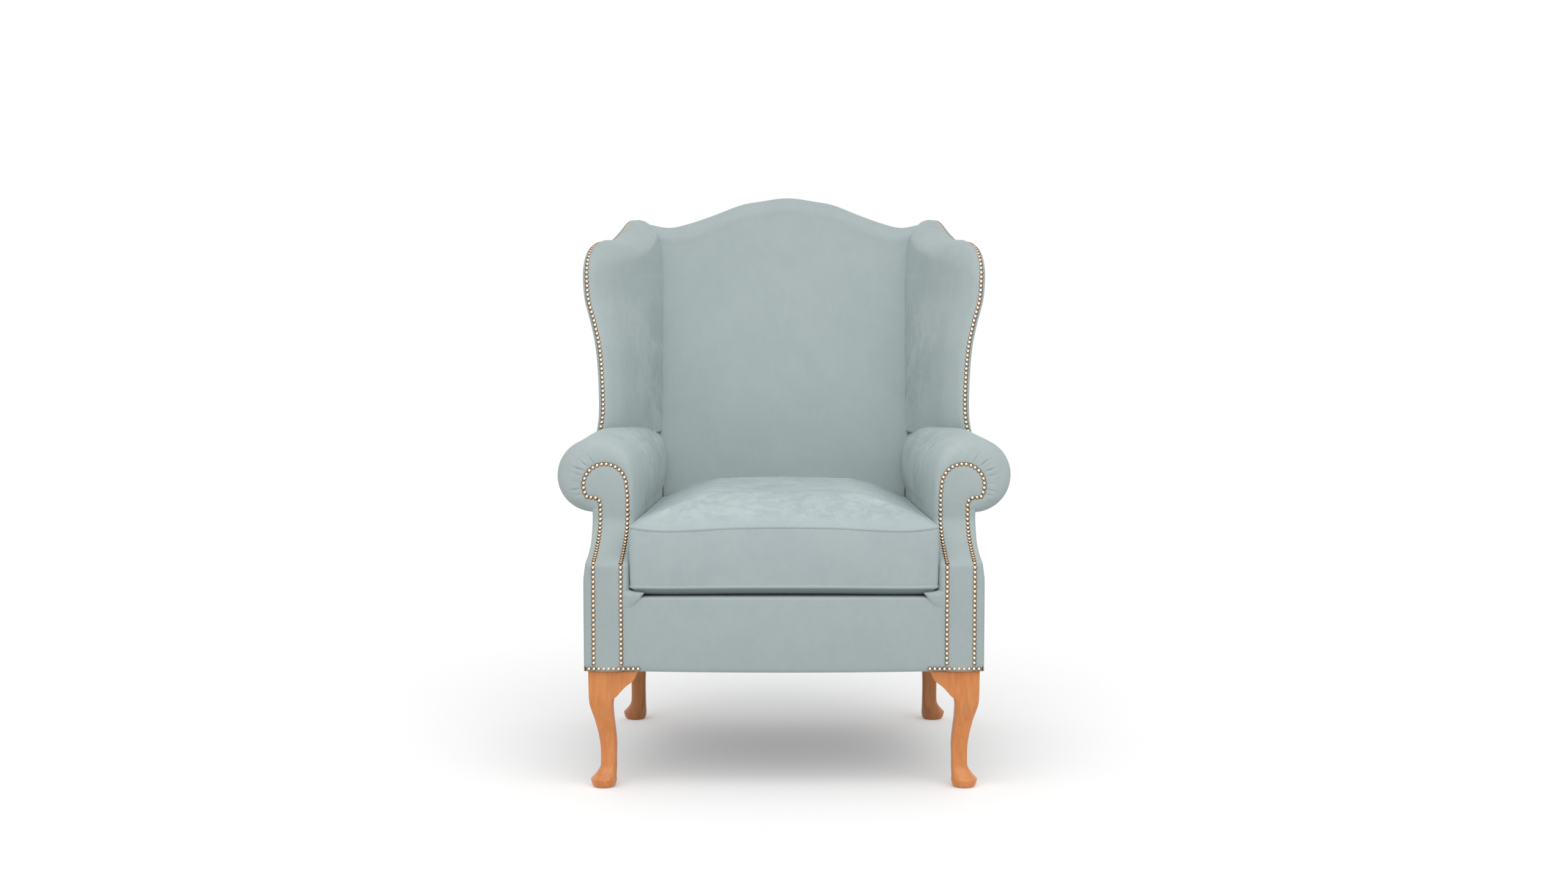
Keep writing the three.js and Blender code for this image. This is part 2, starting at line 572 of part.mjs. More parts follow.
const wingStudInset = 6.3; // from the outer face of the wing to its stud line
const wingStudLine = wingSide(0).filter((p) => p.y > rollTop + studWidth / 2 && p.x < wingPeakY - wingRoll);
const wingStuds = solidOf(alongY(ribbon(wingStudLine.map((p) => at(wingX(p.x, p.y) - wingStudInset, p.y)), studWidth),
  0, backDepth)).intersect(wingOutline(-gap - studProud)).subtract(wingOutline(-gap));
pair('wing_studs', wingStuds, agedBrass);

// Seat suspension: zigzag springs of round wire from the front rail to the rear rail.
const springRadius = 1.9;
const springSides = 5;
const springCount = 5;
const springSpacing = 96;
const springWidth = 46;
const springWaves = 10;
const springArch = 8; // rise at the middle
const springSeat = 14; // the ends lie this far onto the rails
const springStart = frontRailY + railThickness - springSeat;

function zigzag(x) {
  const length = rearRailY + springSeat - springStart;
  const base = railTop + gap + springRadius;
  const swing = (share) => Math.sin(2 * Math.PI * springWaves * share)
    * Math.min(1, springWaves * share, springWaves * (1 - share));
  const point = (share) => new THREE.Vector3(x + springWidth / 2 * swing(share),
    springStart + length * share, base + springArch * Math.sin(Math.PI * share));
  const steps = 6 * springWaves;
  const points = Array.from({ length: steps + 1 }, (_, i) => point(i / steps));
  const wire = outlineOf(Array.from({ length: springSides }, (_, i) => {
    const turn = 2 * Math.PI * i / springSides;
    return at(springRadius * Math.cos(turn), springRadius * Math.sin(turn));
  }));
  return extrude(wire, length, { extrudePath: new THREE.CatmullRomCurve3(points), steps });
}
for (let i = 0; i < springCount; i += 1) {
  single(`seat_spring_${i + 1}`, zigzag(springSpacing * (i - (springCount - 1) / 2)), springSteel);
}

// Seat platform over the springs, and the padded front border over the front rail.
const borderRound = 18;
const borderDepth = 58; // how far back the border's top runs
const platformBottom = railTop + gap + 2 * springRadius + springArch + gap;
single('front_border', cut(solidOf(alongX(outlineOf([
  at(0, bodyBottom), at(frontRailY - gap, bodyBottom), at(frontRailY - gap, railTop + gap),
  at(springStart - springRadius, railTop + gap), at(springStart - springRadius, platformBottom),
  at(borderDepth, platformBottom), at(borderDepth, deckZ), at(borderRound, deckZ),
  at(borderRound / 4, deckZ - borderRound / 4), at(0, deckZ - borderRound),
]), -stripInner, stripInner)), facingSpace, mirrored(facingSpace), stump(gap), mirrored(stump(gap))), fabric);

const platformHalf = armInner + armWall;
const platformFront = borderDepth + gap;
const platformBack = postFrontY - gap;
single('seat_platform', alongZ(outlineOf(mirroredOutline([
  at(sideAt(platformHalf, platformFront), platformFront), at(sideAt(platformHalf, platformBack), platformBack),
])), platformBottom, deckZ), foam);

// Inside back: webbing between the rails, and a pad whose head rolls over the crest rail.
const webThickness = 2;
const webWidth = 60;
const webSpacing = 130;
const webOverlap = 24; // lies this far on each rail
const webBand = backBand(inset + railBoard + gap, inset + railBoard + gap + webThickness,
  lowerRailZ + lowerRailHeight - webOverlap, crestZ - crestPad - crestRailDepth + webOverlap);
for (const [side, name] of [[-1, 'left'], [0, 'middle'], [1, 'right']]) {
  const strap = rectangle(side * webSpacing - webWidth / 2, side * webSpacing + webWidth / 2, bendZ, crestZ);
  single(`back_web_${name}`, solidOf(alongY(strap, 0, backDepth + bodyHalfWidth)).intersect(webBand), webbing);
}

const backSwell = 14; // swell of the pad at its middle
const backHeadRound = 34; // round of the pad's head
const backSwellShares = [[0, 0], [0.176, 0], [0.3, 0.6], [0.45, 1], [0.65, 0.7], [0.85, 0.35], [0.93, 0.25]];
const backStations = Array.from({ length: 2 * crestSteps + 1 }, (_, i) => crestCorner * (i / crestSteps - 1));

function backPadSection(x) {
  const top = crestAt(x);
  const reach = 1 - (x / crestCorner) ** 2;
  const frontY = (z) => insideBackY(Math.max(z, pipingTopZ));
  const front = backSwellShares.map(([height, swell]) => {
    const z = deckZ + gap + height * (crestZ - crestHump - backHeadRound - deckZ) / backSwellShares.at(-1)[0];
    return [frontY(z) - backSwell * swell * reach, z];
  });
  const headZ = top - backHeadRound;
  const headY = frontY(headZ) - backSwell * backSwellShares.at(-1)[1] * reach;
  const head = [0.5, 0.8, 1].map((share) => [headY + backHeadRound * (1 - Math.cos(share * Math.PI / 2)),
    headZ + backHeadRound * Math.sin(share * Math.PI / 2)]);
  const rearY = (z, depth) => outsideBackY(z) - inset - depth;
  const hook = top - crestPad + gap;
  const rail = railBoard + webThickness + 2 * gap;
  const rear = [[rearY(top, 0), top], [rearY(hook, 0), hook], [rearY(hook, rail), hook],
    [rearY(deckZ, rail), deckZ + gap]];
  return [...front, [headY, headZ], ...head, ...rear].map(([y, z]) => new THREE.Vector3(x, y, z)).reverse();
}
const backPad = solidOf(loft(backStations.map(backPadSection))).intersect(creaseOutline(0));
single('inside_back', cut(fitPosts(backPad), armPadSpace, mirrored(armPadSpace), crestRail(gap)), foam);

// Outside back: one stretched panel from the seat frame to the crest.
const backCoverDrop = 5; // below the rolled head of the pad
const rearCorners = [[sideAt(bodyHalfWidth, backDepth), bodyBottom], ...[bendZ, ...wingRows.slice(1, -1)]
  .map((z) => [wingRearX(z), z])].map(([x, z]) => at(x, z)).filter((p) => p.y < crestAt(crestCorner) - backCoverDrop);
const crestLine = crestStations.toReversed().map((x) => x * crestCorner / halfRail)
  .map((x) => at(x, crestAt(x) - backCoverDrop));
single('outside_back', solidOf(alongY(outlineOf(mirroredOutline([...rearCorners, ...crestLine])), 0,
  backDepth + bodyHalfWidth)).intersect(backBand(0, cover, bodyBottom, crestZ)), fabric);

// Loose seat cushion: a boxed cushion with a crown above and below, and piping round both edges.
const cushionHalf = armInner - gap;
const cushionLength = seatDepth - gap;
const cushionRound = 28; // plan radius of its corners
const sidePull = 3; // how far its sides pull in between the corners
const boxingPull = 3; // and between the two lines of piping
const pipingRadius = 4.2;
const crownTop = 44;
const crownBottom = pipingRise - gap;
const crownRunShare = 0.62; // from the edge in to where the crown is flat, of half the cushion's size
const crownRun = crownRunShare * Math.min(cushionHalf, cushionLength / 2);
const pipingSides = 6;
const pipingJoint = 1; // the piping's ends meet at the middle of the back

function cushionPlan(shrink) {
  const half = cushionHalf - shrink;
  const [front, rear] = [shrink, cushionLength - shrink];
  const pull = 2 * sidePull * Math.max(0, 1 - shrink / crownRun);
  const round = cushionRound + shrink / 4;
  const line = new THREE.Path();
  line.moveTo(pipingJoint / 2, rear);
  line.lineTo(half - round, rear);
  line.quadraticCurveTo(half, rear, half, rear - round);
  line.quadraticCurveTo(half - pull, cushionLength / 2, half, front + round);
  line.quadraticCurveTo(half, front, half - round, front);
  line.quadraticCurveTo(0, front + pull, round - half, front);
  line.quadraticCurveTo(-half, front, -half, front + round);
  line.quadraticCurveTo(pull - half, cushionLength / 2, -half, rear - round);
  line.quadraticCurveTo(-half, rear, round - half, rear);
  line.lineTo(-pipingJoint / 2, rear);
  return line.getPoints(arcSteps - 1).map((p) => at(p.x * (1 - toeShare * p.y / cushionHalf), p.y)).reverse();
}
const crownShares = [0.06, 0.2, 0.42, 0.7, 1];
const crownRise = (share) => 1 - (1 - share) ** 2.4;

function cushionBody() {
  const level = (shrink, z) => cushionPlan(shrink).map((p) => new THREE.Vector3(p.x, p.y, z));
  const boxing = pipingRadius * 0.7;
  const crown = (z, rise) => crownShares.map((share) => level(share * crownRun, z + rise * crownRise(share)));
  const below = crown(pipingBottomZ, -crownBottom).reverse();
  const above = crown(pipingTopZ, crownTop);
  const middle = [[boxing, pipingBottomZ], [boxing + boxingPull, (pipingBottomZ + pipingTopZ) / 2], [boxing, pipingTopZ]];
  return solidOf(loft([...below, ...middle.map(([shrink, z]) => level(shrink, z)), ...above]));
}

function piping(z, slack) {
  const line = cushionPlan(pipingRadius);
  const rings = line.map((p, i) => {
    const [before, after] = [line[Math.max(0, i - 1)], line[Math.min(line.length - 1, i + 1)]];
    const out = at(after.y - before.y, before.x - after.x).normalize();
    return Array.from({ length: pipingSides }, (_, k) => {
      const turn = 2 * Math.PI * (k + 0.5) / pipingSides;
      const reach = (pipingRadius + slack) * Math.cos(turn);
      return new THREE.Vector3(p.x + out.x * reach, p.y + out.y * reach, z - (pipingRadius + slack) * Math.sin(turn));
    });
  });
  return solidOf(loft(rings));
}
const pipingLevels = [['top', pipingTopZ], ['bottom', pipingBottomZ]];
single('seat_cushion', cut(cushionBody(), ...pipingLevels.map(([, z]) => piping(z, gap))), fabric);
for (const [name, z] of pipingLevels) single(`cushion_piping_${name}`, piping(z, 0), fabric);

// Studs along the foot of the seat, from the front round the corner onto the side.
const footStudReach = 115; // the row runs this far in along the front
const footStudSide = 100; // and this far back along the side
const footStudFront = bodyHalfWidth - footStudReach;
const footStuds = solidOf(toed(alongZ(outlineOf([
  at(footStudFront, -gap), at(footStudFront, -gap - studProud),
  at(bodyHalfWidth + gap + studProud, -gap - studProud), at(bodyHalfWidth + gap + studProud, footStudSide),
  at(bodyHalfWidth + gap, footStudSide), at(bodyHalfWidth + gap, -gap),
]), footStudZ - studWidth / 2, footStudZ + studWidth / 2)));
pair('foot_studs', footStuds, agedBrass);

// Legs: cabriole in front, with a knee, a slim ankle, a pad foot and an ear on each face; plainer behind.
const legHeight = bodyBottom - gap;
const earReach = 88; // width of a front leg at its top, with its ear
const earThickness = 24;
const footRound = 24; // radius of the pad foot

// Each row: height, outer face and inner face from the corner of the leg, and how round it is.
const frontLegShares = [[0, 0.1, 0.93, 0.95], [0.022, 0.06, 0.97, 0.95], [0.06, 0.04, 0.985, 0.95],
  [0.095, 0.16, 0.98, 0.95], [0.17, 0.39, 0.975, 0.5], [0.225, 0.4, 0.97, 0.4], [0.36, 0.39, 0.98, 0.35],
  [0.468, 0.325, 0.95, 0.32], [0.576, 0.22, 0.9, 0.3], [0.68, 0.07, 0.87, 0.28], [0.733, 0.02, 0.89, 0.2],
  [0.775, 0.01, 0.95, 0.15], [1, 0, 1, 0.1]];
const rearLegShares = [[0, -0.3, 0.62, 0.95], [0.022, -0.35, 0.66, 0.95], [0.06, -0.39, 0.69, 0.95],
  [0.095, -0.3, 0.68, 0.95], [0.17, -0.02, 0.67, 0.5], [0.36, 0, 0.66, 0.4], [0.576, 0, 0.7, 0.3],
  [0.78, 0, 0.82, 0.2], [0.88, 0, 1, 0.12], [1, 0, 1, 0.1]];

function legBody(shares, width, cornerX, cornerY, towardBack) {
  const section = ([height, outer, inner, roundness]) => {
    const [low, high] = [outer * width, inner * width];
    const round = Math.min(footRound, (high - low) / 2) * roundness;
    const line = new THREE.Path();
    line.moveTo(low + round, low);
    line.lineTo(high - round, low);
    line.absarc(high - round, low + round, round, -Math.PI / 2, 0, false);
    line.absarc(high - round, high - round, round, 0, Math.PI / 2, false);
    line.absarc(low + round, high - round, round, Math.PI / 2, Math.PI, false);
    line.absarc(low + round, low + round, round, Math.PI, 3 * Math.PI / 2, false);
    const ring = distinct(line.getPoints(3))
      .map((p) => new THREE.Vector3(cornerX - p.x, cornerY + towardBack * p.y, height * legHeight));
    return towardBack > 0 ? ring.reverse() : ring;
  };
  return solidOf(loft(shares.map(section)));
}
const earShares = [[0.28, 0.72], [0.56, 0.775], [0.65, 0.815], [0.76, 0.862], [0.915, 0.912], [0.976, 0.95],
  [1, 0.998]];
const earOutline = [at(kneeWidth / 2, legHeight * earShares[0][1]),
  ...earShares.slice(1).map(([reach, height]) => at(reach * earReach, height * legHeight)),
  at(earReach, legHeight), at(kneeWidth / 2, legHeight)];
const frontEar = alongY(outlineOf(earOutline.map((p) => at(frontLegX - p.x, p.y))), frontLegY + kneeInset,
  frontLegY + earThickness);
const sideEar = alongX(outlineOf(earOutline.map((p) => at(frontLegY + p.x, p.y))), frontLegX - earThickness,
  frontLegX - kneeInset);
const frontLeg = legBody(frontLegShares, kneeWidth, frontLegX, frontLegY, 1);
const rearLeg = legBody(rearLegShares, rearKneeWidth, rearLegX, rearLegY, -1);
pair('leg_front', cut(frontLeg.add(solidOf(frontEar)).add(solidOf(sideEar)), solidOf(frontBolt(gap))), stainedLeg);
pair('leg_rear', cut(rearLeg, solidOf(rearBolt(gap))), stainedLeg);

// Dust cover: thin black cloth under the seat frame, cut out round the legs.
const clothThickness = 1.2;
const clothEdge = 14; // from the outside of the seat to the edge of the cloth
const clothSide = (y) => sideAt(bodyHalfWidth, y) - clothEdge;
const clothNotch = frontLegY + earReach + gap;
const rearNotch = rearLegY - rearKneeWidth - gap;
const clothRear = backDepth - clothEdge;
single('dust_cover', alongZ(outlineOf(mirroredOutline([
  at(frontLegX - earReach - gap, clothEdge), at(frontLegX - earReach - gap, clothNotch),
  at(clothSide(clothNotch), clothNotch),
  at(clothSide(rearNotch), rearNotch), at(rearLegX - rearKneeWidth - gap, rearNotch),
  at(rearLegX - rearKneeWidth - gap, clothRear),
])), bodyBottom - gap - clothThickness, bodyBottom - gap), blackCloth);

// The chair stands centred over its own origin.
const bounds = new THREE.Box3().setFromObject(chair, true);
chair.children.forEach((child) => child.position.setY(-(bounds.min.y + bounds.max.y) / 2));

export default chair;
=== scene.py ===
import math

import bmesh
import bpy
import numpy as np
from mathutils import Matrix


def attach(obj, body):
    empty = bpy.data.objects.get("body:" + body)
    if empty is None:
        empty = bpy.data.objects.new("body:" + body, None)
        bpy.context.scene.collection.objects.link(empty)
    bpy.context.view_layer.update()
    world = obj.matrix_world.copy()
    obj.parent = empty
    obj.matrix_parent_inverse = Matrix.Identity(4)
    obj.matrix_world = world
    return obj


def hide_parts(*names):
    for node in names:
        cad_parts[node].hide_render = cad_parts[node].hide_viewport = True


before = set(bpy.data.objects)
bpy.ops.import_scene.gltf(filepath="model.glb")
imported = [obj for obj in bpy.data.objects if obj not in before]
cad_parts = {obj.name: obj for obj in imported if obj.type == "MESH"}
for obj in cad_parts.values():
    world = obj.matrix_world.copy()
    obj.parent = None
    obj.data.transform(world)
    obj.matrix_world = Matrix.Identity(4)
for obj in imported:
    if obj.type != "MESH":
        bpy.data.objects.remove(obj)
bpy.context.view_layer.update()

# Camera. It stands in front of the chair at the height of its head and looks a little down.
camera_data = bpy.data.cameras.new("camera")
camera_data.lens = 50
camera_data.sensor_width = 36
camera = bpy.data.objects.new("camera", camera_data)
camera.location = (0, -4.2477, 0.957)
camera.rotation_euler = (math.radians(90 - 4.9), 0, 0)
bpy.context.scene.collection.objects.link(camera)
bpy.context.scene.camera = camera
bpy.context.scene.view_settings.view_transform = "Standard"


# Floor and light. A plain white floor under an even sky, one broad soft lamp above the front and a weak
# fill in front of the back, so that colours show about as written and the chair keeps a soft shadow.
def add(tree, kind, inputs=None, **fields):
    """Adds a node. Fields are its own settings, and inputs are values or other nodes' outputs."""
    made = tree.nodes.new(kind)
    for field, value in fields.items():
        setattr(made, field, value)
    for socket, value in (inputs or {}).items():
        if isinstance(value, bpy.types.NodeSocket):
            tree.links.new(value, made.inputs[socket])
        else:
            made.inputs[socket].default_value = value
    return made


def colour(code):
    """A colour as it is written in a paint chart, made linear for the shader."""
    parts = [int(code[i:i + 2], 16) / 255 for i in (1, 3, 5)]
    return [p / 12.92 if p <= 0.04045 else ((p + 0.055) / 1.055) ** 2.4 for p in parts] + [1]


def looked_at(tree):
    """One where the camera looks, straight, in a gloss or through glass, and zero for light on its way."""
    path = add(tree, "ShaderNodeLightPath")
    direct = add(tree, "ShaderNodeMath", {0: path.outputs["Is Camera Ray"], 1: path.outputs["Is Glossy Ray"]},
                 operation="ADD", use_clamp=True)
    through = add(tree, "ShaderNodeMath", {0: direct.outputs[0], 1: path.outputs["Is Transmission Ray"]},
                  operation="ADD", use_clamp=True)
    return through.outputs[0]


sky_light = 0.74
world = bpy.data.worlds.new("studio_sky")
bpy.context.scene.world = world
world.use_nodes = True
sky = world.node_tree
level = add(sky, "ShaderNodeMapRange", {"Value": looked_at(sky), "To Min": sky_light, "To Max": 1.0})
sky.links.new(level.outputs[0], sky.nodes["Background"].inputs["Strength"])
sky.nodes["Background"].inputs["Color"].default_value = colour("#FFFFFF")

lamp_data = bpy.data.lights.new("soft_lamp", "SUN")
lamp_data.energy = 1.1
lamp_data.angle = math.radians(70)
lamp = bpy.data.objects.new("soft_lamp", lamp_data)
lamp.rotation_euler = (math.radians(36), 0, math.radians(6))
bpy.context.scene.collection.objects.link(lamp)
fill_data = bpy.data.lights.new("weak_fill", "AREA")
fill_data.shape = "RECTANGLE"
fill_data.size, fill_data.size_y = 0.9, 0.5
fill_data.energy = 1.3
fill = bpy.data.objects.new("weak_fill", fill_data)
fill.location = (0, -0.62, 0.98)
fill.rotation_euler = (math.radians(78), 0, 0)
bpy.context.scene.collection.objects.link(fill)

floor_mesh = bpy.data.meshes.new("floor")
floor_reach = 40
floor_corners = [(-floor_reach, -floor_reach, 0), (floor_reach, -floor_reach, 0),
                 (floor_reach, floor_reach, 0), (-floor_reach, floor_reach, 0)]
floor_mesh.from_pydata(floor_corners, [], [(0, 1, 2, 3)])
floor = bpy.data.objects.new("floor", floor_mesh)
bpy.context.scene.collection.objects.link(floor)
floor_paint = bpy.data.materials.new("white_studio_floor")
floor_paint.use_nodes = True
tree = floor_paint.node_tree
shader = tree.nodes["Principled BSDF"]
shader.inputs["Base Color"].default_value = (0.84, 0.84, 0.84, 1)
shader.inputs["Roughness"].default_value = 1.0
shader.inputs["Specular IOR Level"].default_value = 0.0
# What the camera sees of the floor is lifted by this much, up to the white of the backdrop.
floor_lift = 0.185
lift = add(tree, "ShaderNodeMath", {0: looked_at(tree), 1: floor_lift}, operation="MULTIPLY")
shader.inputs["Emission Color"].default_value = colour("#FFFFFF")
tree.links.new(lift.outputs[0], shader.inputs["Emission Strength"])
floor.data.materials.append(floor_paint)


# Frame. Rails, stumps, posts and boards of sawn beech, doweled and glued, with triangular blocks in
# the corners of the seat. Covers and pads hide all of it.
def material_of(name):
    """A new material with its tree and its shader."""
    made = bpy.data.materials.new(name)
    made.use_nodes = True
    return made, made.node_tree, made.node_tree.nodes["Principled BSDF"]


def dress(material, *nodes):
    """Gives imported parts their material."""
    for name in nodes:
        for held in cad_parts[name].material_slots:
            held.material = material


sides = ("left", "right")
beech, tree, shader = material_of("sawn_beech")
place = add(tree, "ShaderNodeTexCoord")
# Growth lines about 6 mm apart across a board and drawn out 30 times along it.
along = add(tree, "ShaderNodeMapping", {"Vector": place.outputs["Object"], "Scale": (160, 160, 5)})
growth = add(tree, "ShaderNodeTexNoise", {"Vector": along.outputs[0], "Scale": 1.0, "Detail": 4.0})
# Flecks of beech, 1 mm wide and 5 mm long.
flecks = add(tree, "ShaderNodeMapping", {"Vector": place.outputs["Object"], "Scale": (1000, 1000, 200)})
fleck = add(tree, "ShaderNodeTexNoise", {"Vector": flecks.outputs[0], "Scale": 1.0})
tone = add(tree, "ShaderNodeMix", {"Factor": growth.outputs["Fac"], 6: colour("#C29A66"), 7: colour("#D9B683")},
           data_type="RGBA")
speckled = add(tree, "ShaderNodeMix", {"Factor": 0.25, 6: tone.outputs[2], 7: fleck.outputs["Color"]},
               data_type="RGBA", blend_type="OVERLAY")
tree.links.new(speckled.outputs[2], shader.inputs["Base Color"])
shader.inputs["Roughness"].default_value = 0.7
dress(beech, "rail_front", "rail_back", "crest_rail", "lower_back_rail")
for side in sides:
    dress(beech, f"rail_side_{side}", f"corner_block_front_{side}", f"corner_block_rear_{side}")
    dress(beech, f"arm_stump_{side}", f"arm_board_{side}", f"back_post_{side}")
    dress(beech, f"wing_post_{side}", f"wing_rail_{side}")

# Seat springs and leg bolts. Zigzag springs of oiled spring wire run from the front rail to the back
# rail, and a plain steel hanger bolt holds each leg.
wire, tree, shader = material_of("oiled_spring_steel")
place = add(tree, "ShaderNodeTexCoord")
# Oil and scale patches of about 4 mm.
scale = add(tree, "ShaderNodeTexNoise", {"Vector": place.outputs["Object"], "Scale": 250.0, "Detail": 3.0})
tone = add(tree, "ShaderNodeMix", {"Factor": scale.outputs["Fac"], 6: colour("#4A4B4D"), 7: colour("#8A8C8F")},
           data_type="RGBA")
gloss = add(tree, "ShaderNodeMapRange", {"Value": scale.outputs["Fac"], "To Min": 0.3, "To Max": 0.55})
tree.links.new(tone.outputs[2], shader.inputs["Base Color"])
tree.links.new(gloss.outputs[0], shader.inputs["Roughness"])
shader.inputs["Metallic"].default_value = 1.0
dress(wire, *[f"seat_spring_{i}" for i in range(1, 6)])
for side in sides:
    dress(wire, f"hanger_bolt_front_{side}", f"hanger_bolt_rear_{side}")

# Back webbing. Three straps of woven elastic webbing, stretched from the lower rail to the crest rail
# and stapled there, which carry the back pad.
web_half = 30
web_foot = 421
web_head = 939
web_depth = 35.2  # from the outside back to the rear face of a strap
web_thickness = 1.9
back_depth = 632  # of the outside back, up to the height where it starts to lean
bend_z = 345
rake = 0.19
front_depth = 384  # from the front of the seat to the middle of the chair


def outside_back_y(z):
    """Depth of the outside back at a height."""
    return back_depth + rake * np.maximum(0, z - bend_z)


def seated(points):
    """Points in millimetres, drawn from the front of the seat, as metres in the chair's own frame."""
    return (np.asarray(points, float) - (0, front_depth, 0)) / 1000


def skin(name, grid, inside, material, round_rows=False, brushed=None):
    """One surface over rows of points. Its faces look away from the point that lies inside."""
    grid = np.asarray(grid, float)
    rows, columns = grid.shape[:2]
    index = np.arange(rows * columns).reshape(rows, columns)
    if round_rows:
        index = np.hstack([index, index[:, :1]])
    corners = np.stack([index[:-1, :-1], index[:-1, 1:], index[1:, 1:], index[1:, :-1]], -1).reshape(-1, 4)
    flat = grid.reshape(-1, 3)
    quads = flat[corners]
    normal = np.cross(quads[:, 2] - quads[:, 0], quads[:, 3] - quads[:, 1])
    if np.sum(normal * (quads.mean(1) - np.asarray(inside, float))) < 0:
        corners = corners[:, ::-1]
    mesh = bpy.data.meshes.new(name)
    mesh.from_pydata(seated(flat).tolist(), [], corners.tolist())
    mesh.polygons.foreach_set("use_smooth", [True] * len(mesh.polygons))
    mesh.materials.append(material)
    if brushed is not None:
        mesh.attributes.new("brushed", "FLOAT", "POINT").data.foreach_set("value", np.ravel(brushed))
    piece = bpy.data.objects.new(name, mesh)
    bpy.context.scene.collection.objects.link(piece)
    return piece


def thicken(piece, thickness):
    """Gives a surface its thickness, in millimetres behind its face."""
    wall = piece.modifiers.new("thickness", "SOLIDIFY")
    wall.thickness = thickness / 1000
    wall.offset = -1


def belongs(piece, body, slot_name, *nodes):
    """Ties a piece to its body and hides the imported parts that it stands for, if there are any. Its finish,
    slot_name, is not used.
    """
    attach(piece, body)
    if nodes:
        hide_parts(*nodes)


def woven(tree, shader, pattern, dark, light, strength, depth):
    """Colours a cloth between two tones by a pattern, which also stands out by a depth in millimetres."""
    tone = add(tree, "ShaderNodeMix", {"Factor": pattern, 6: colour(dark), 7: colour(light)}, data_type="RGBA")
    relief = add(tree, "ShaderNodeBump", {"Height": pattern, "Strength": strength, "Distance": depth / 1000})
    tree.links.new(tone.outputs[2], shader.inputs["Base Color"])
    tree.links.new(relief.outputs[0], shader.inputs["Normal"])


webbing, tree, shader = material_of("woven_elastic_webbing")
place = add(tree, "ShaderNodeTexCoord")
# Ribs of the weave, 1.6 mm apart.
ribs = add(tree, "ShaderNodeTexWave", {"Vector": place.outputs["Object"], "Scale": 100.0, "Distortion": 0.6},
           bands_direction="Z")
woven(tree, shader, ribs.outputs["Fac"], "#34373B", "#5A5E64", 0.6, 0.6)
shader.inputs["Roughness"].default_value = 0.9
heights = np.linspace(web_foot, web_head, 60)
for name, middle in (("left", -130), ("middle", 0), ("right", 130)):
    across = np.linspace(middle - web_half, middle + web_half, 9)
    rows = [[(x, outside_back_y(z) - web_depth - web_thickness, z) for x in across] for z in heights]
    strap = skin(f"webbing_{name}", rows, (middle, 2000, 700), webbing)
    thicken(strap, web_thickness)
    belongs(strap, "chair", "back_webbing", f"back_web_{name}")

# Legs. Solid hardwood with a honey stain and a satin lacquer: cabriole legs in front, with a knee, a
# slim ankle, a pad foot and an ear glued on each inner face, and plainer legs behind.
leg_height = 216.7
knee = 50
rear_knee = 44
front_corner = (353.0, 6.7)
rear_corner = (317.0, 627.0)
foot_round = 24
ear_reach = 88
ear_depth = 24
# Height, outer face, inner face and roundness, as shares of the height, the knee and the foot's radius.
front_leg_shares = [
    (0, 0.17, 0.87, 0.98), (0.008, 0.12, 0.915, 0.98), (0.025, 0.08, 0.95, 0.98), (0.048, 0.05, 0.975, 0.98),
    (0.068, 0.035, 0.99, 0.98), (0.0735, 0.045, 0.985, 0.98), (0.079, 0.085, 0.975, 0.96),
    (0.095, 0.155, 0.97, 0.9), (0.13, 0.285, 0.972, 0.72), (0.17, 0.38, 0.975, 0.6),
    (0.225, 0.40, 0.97, 0.5), (0.29, 0.40, 0.975, 0.45), (0.36, 0.385, 0.98, 0.42), (0.468, 0.315, 0.95, 0.4),
    (0.576, 0.205, 0.90, 0.38), (0.64, 0.12, 0.88, 0.36), (0.69, 0.06, 0.87, 0.3), (0.733, 0.025, 0.89, 0.25),
    (0.79, 0.012, 0.94, 0.2), (0.88, 0.005, 1, 0.15), (1, 0, 1, 0.12),
]
rear_leg_shares = [
    (0, -0.24, 0.58, 0.98), (0.008, -0.29, 0.62, 0.98), (0.025, -0.345, 0.66, 0.98),
    (0.048, -0.375, 0.68, 0.98), (0.068, -0.39, 0.69, 0.98), (0.0735, -0.38, 0.69, 0.98),
    (0.079, -0.345, 0.685, 0.96),
    (0.095, -0.27, 0.68, 0.9), (0.13, -0.125, 0.675, 0.7), (0.17, -0.03, 0.67, 0.55),
    (0.225, 0, 0.665, 0.45), (0.36, 0, 0.66, 0.4), (0.576, 0, 0.70, 0.34), (0.70, 0, 0.76, 0.3),
    (0.78, 0, 0.83, 0.25), (0.88, 0, 0.94, 0.2), (1, 0, 1, 0.15),
]
ear_shares = [(0.28, 0.700), (0.40, 0.738), (0.56, 0.775), (0.65, 0.815), (0.76, 0.862), (0.915, 0.912),
              (0.976, 0.95), (1, 0.99)]


def curve_through(table, count):
    """Points of a smooth curve through the rows of a table, spaced evenly by row."""
    table = np.asarray(table, float)
    padded = np.vstack([2 * table[0] - table[1], table, 2 * table[-1] - table[-2]])
    place_on = np.linspace(0, len(table) - 1, count)
    low = np.minimum(place_on.astype(int), len(table) - 2)
    t = (place_on - low)[:, None]
    a, b, c, d = (padded[low + i] for i in range(4))
    return 0.5 * (2 * b + (c - a) * t + (2 * a - 5 * b + 4 * c - d) * t ** 2 + (3 * b - a - 3 * c + d) * t ** 3)


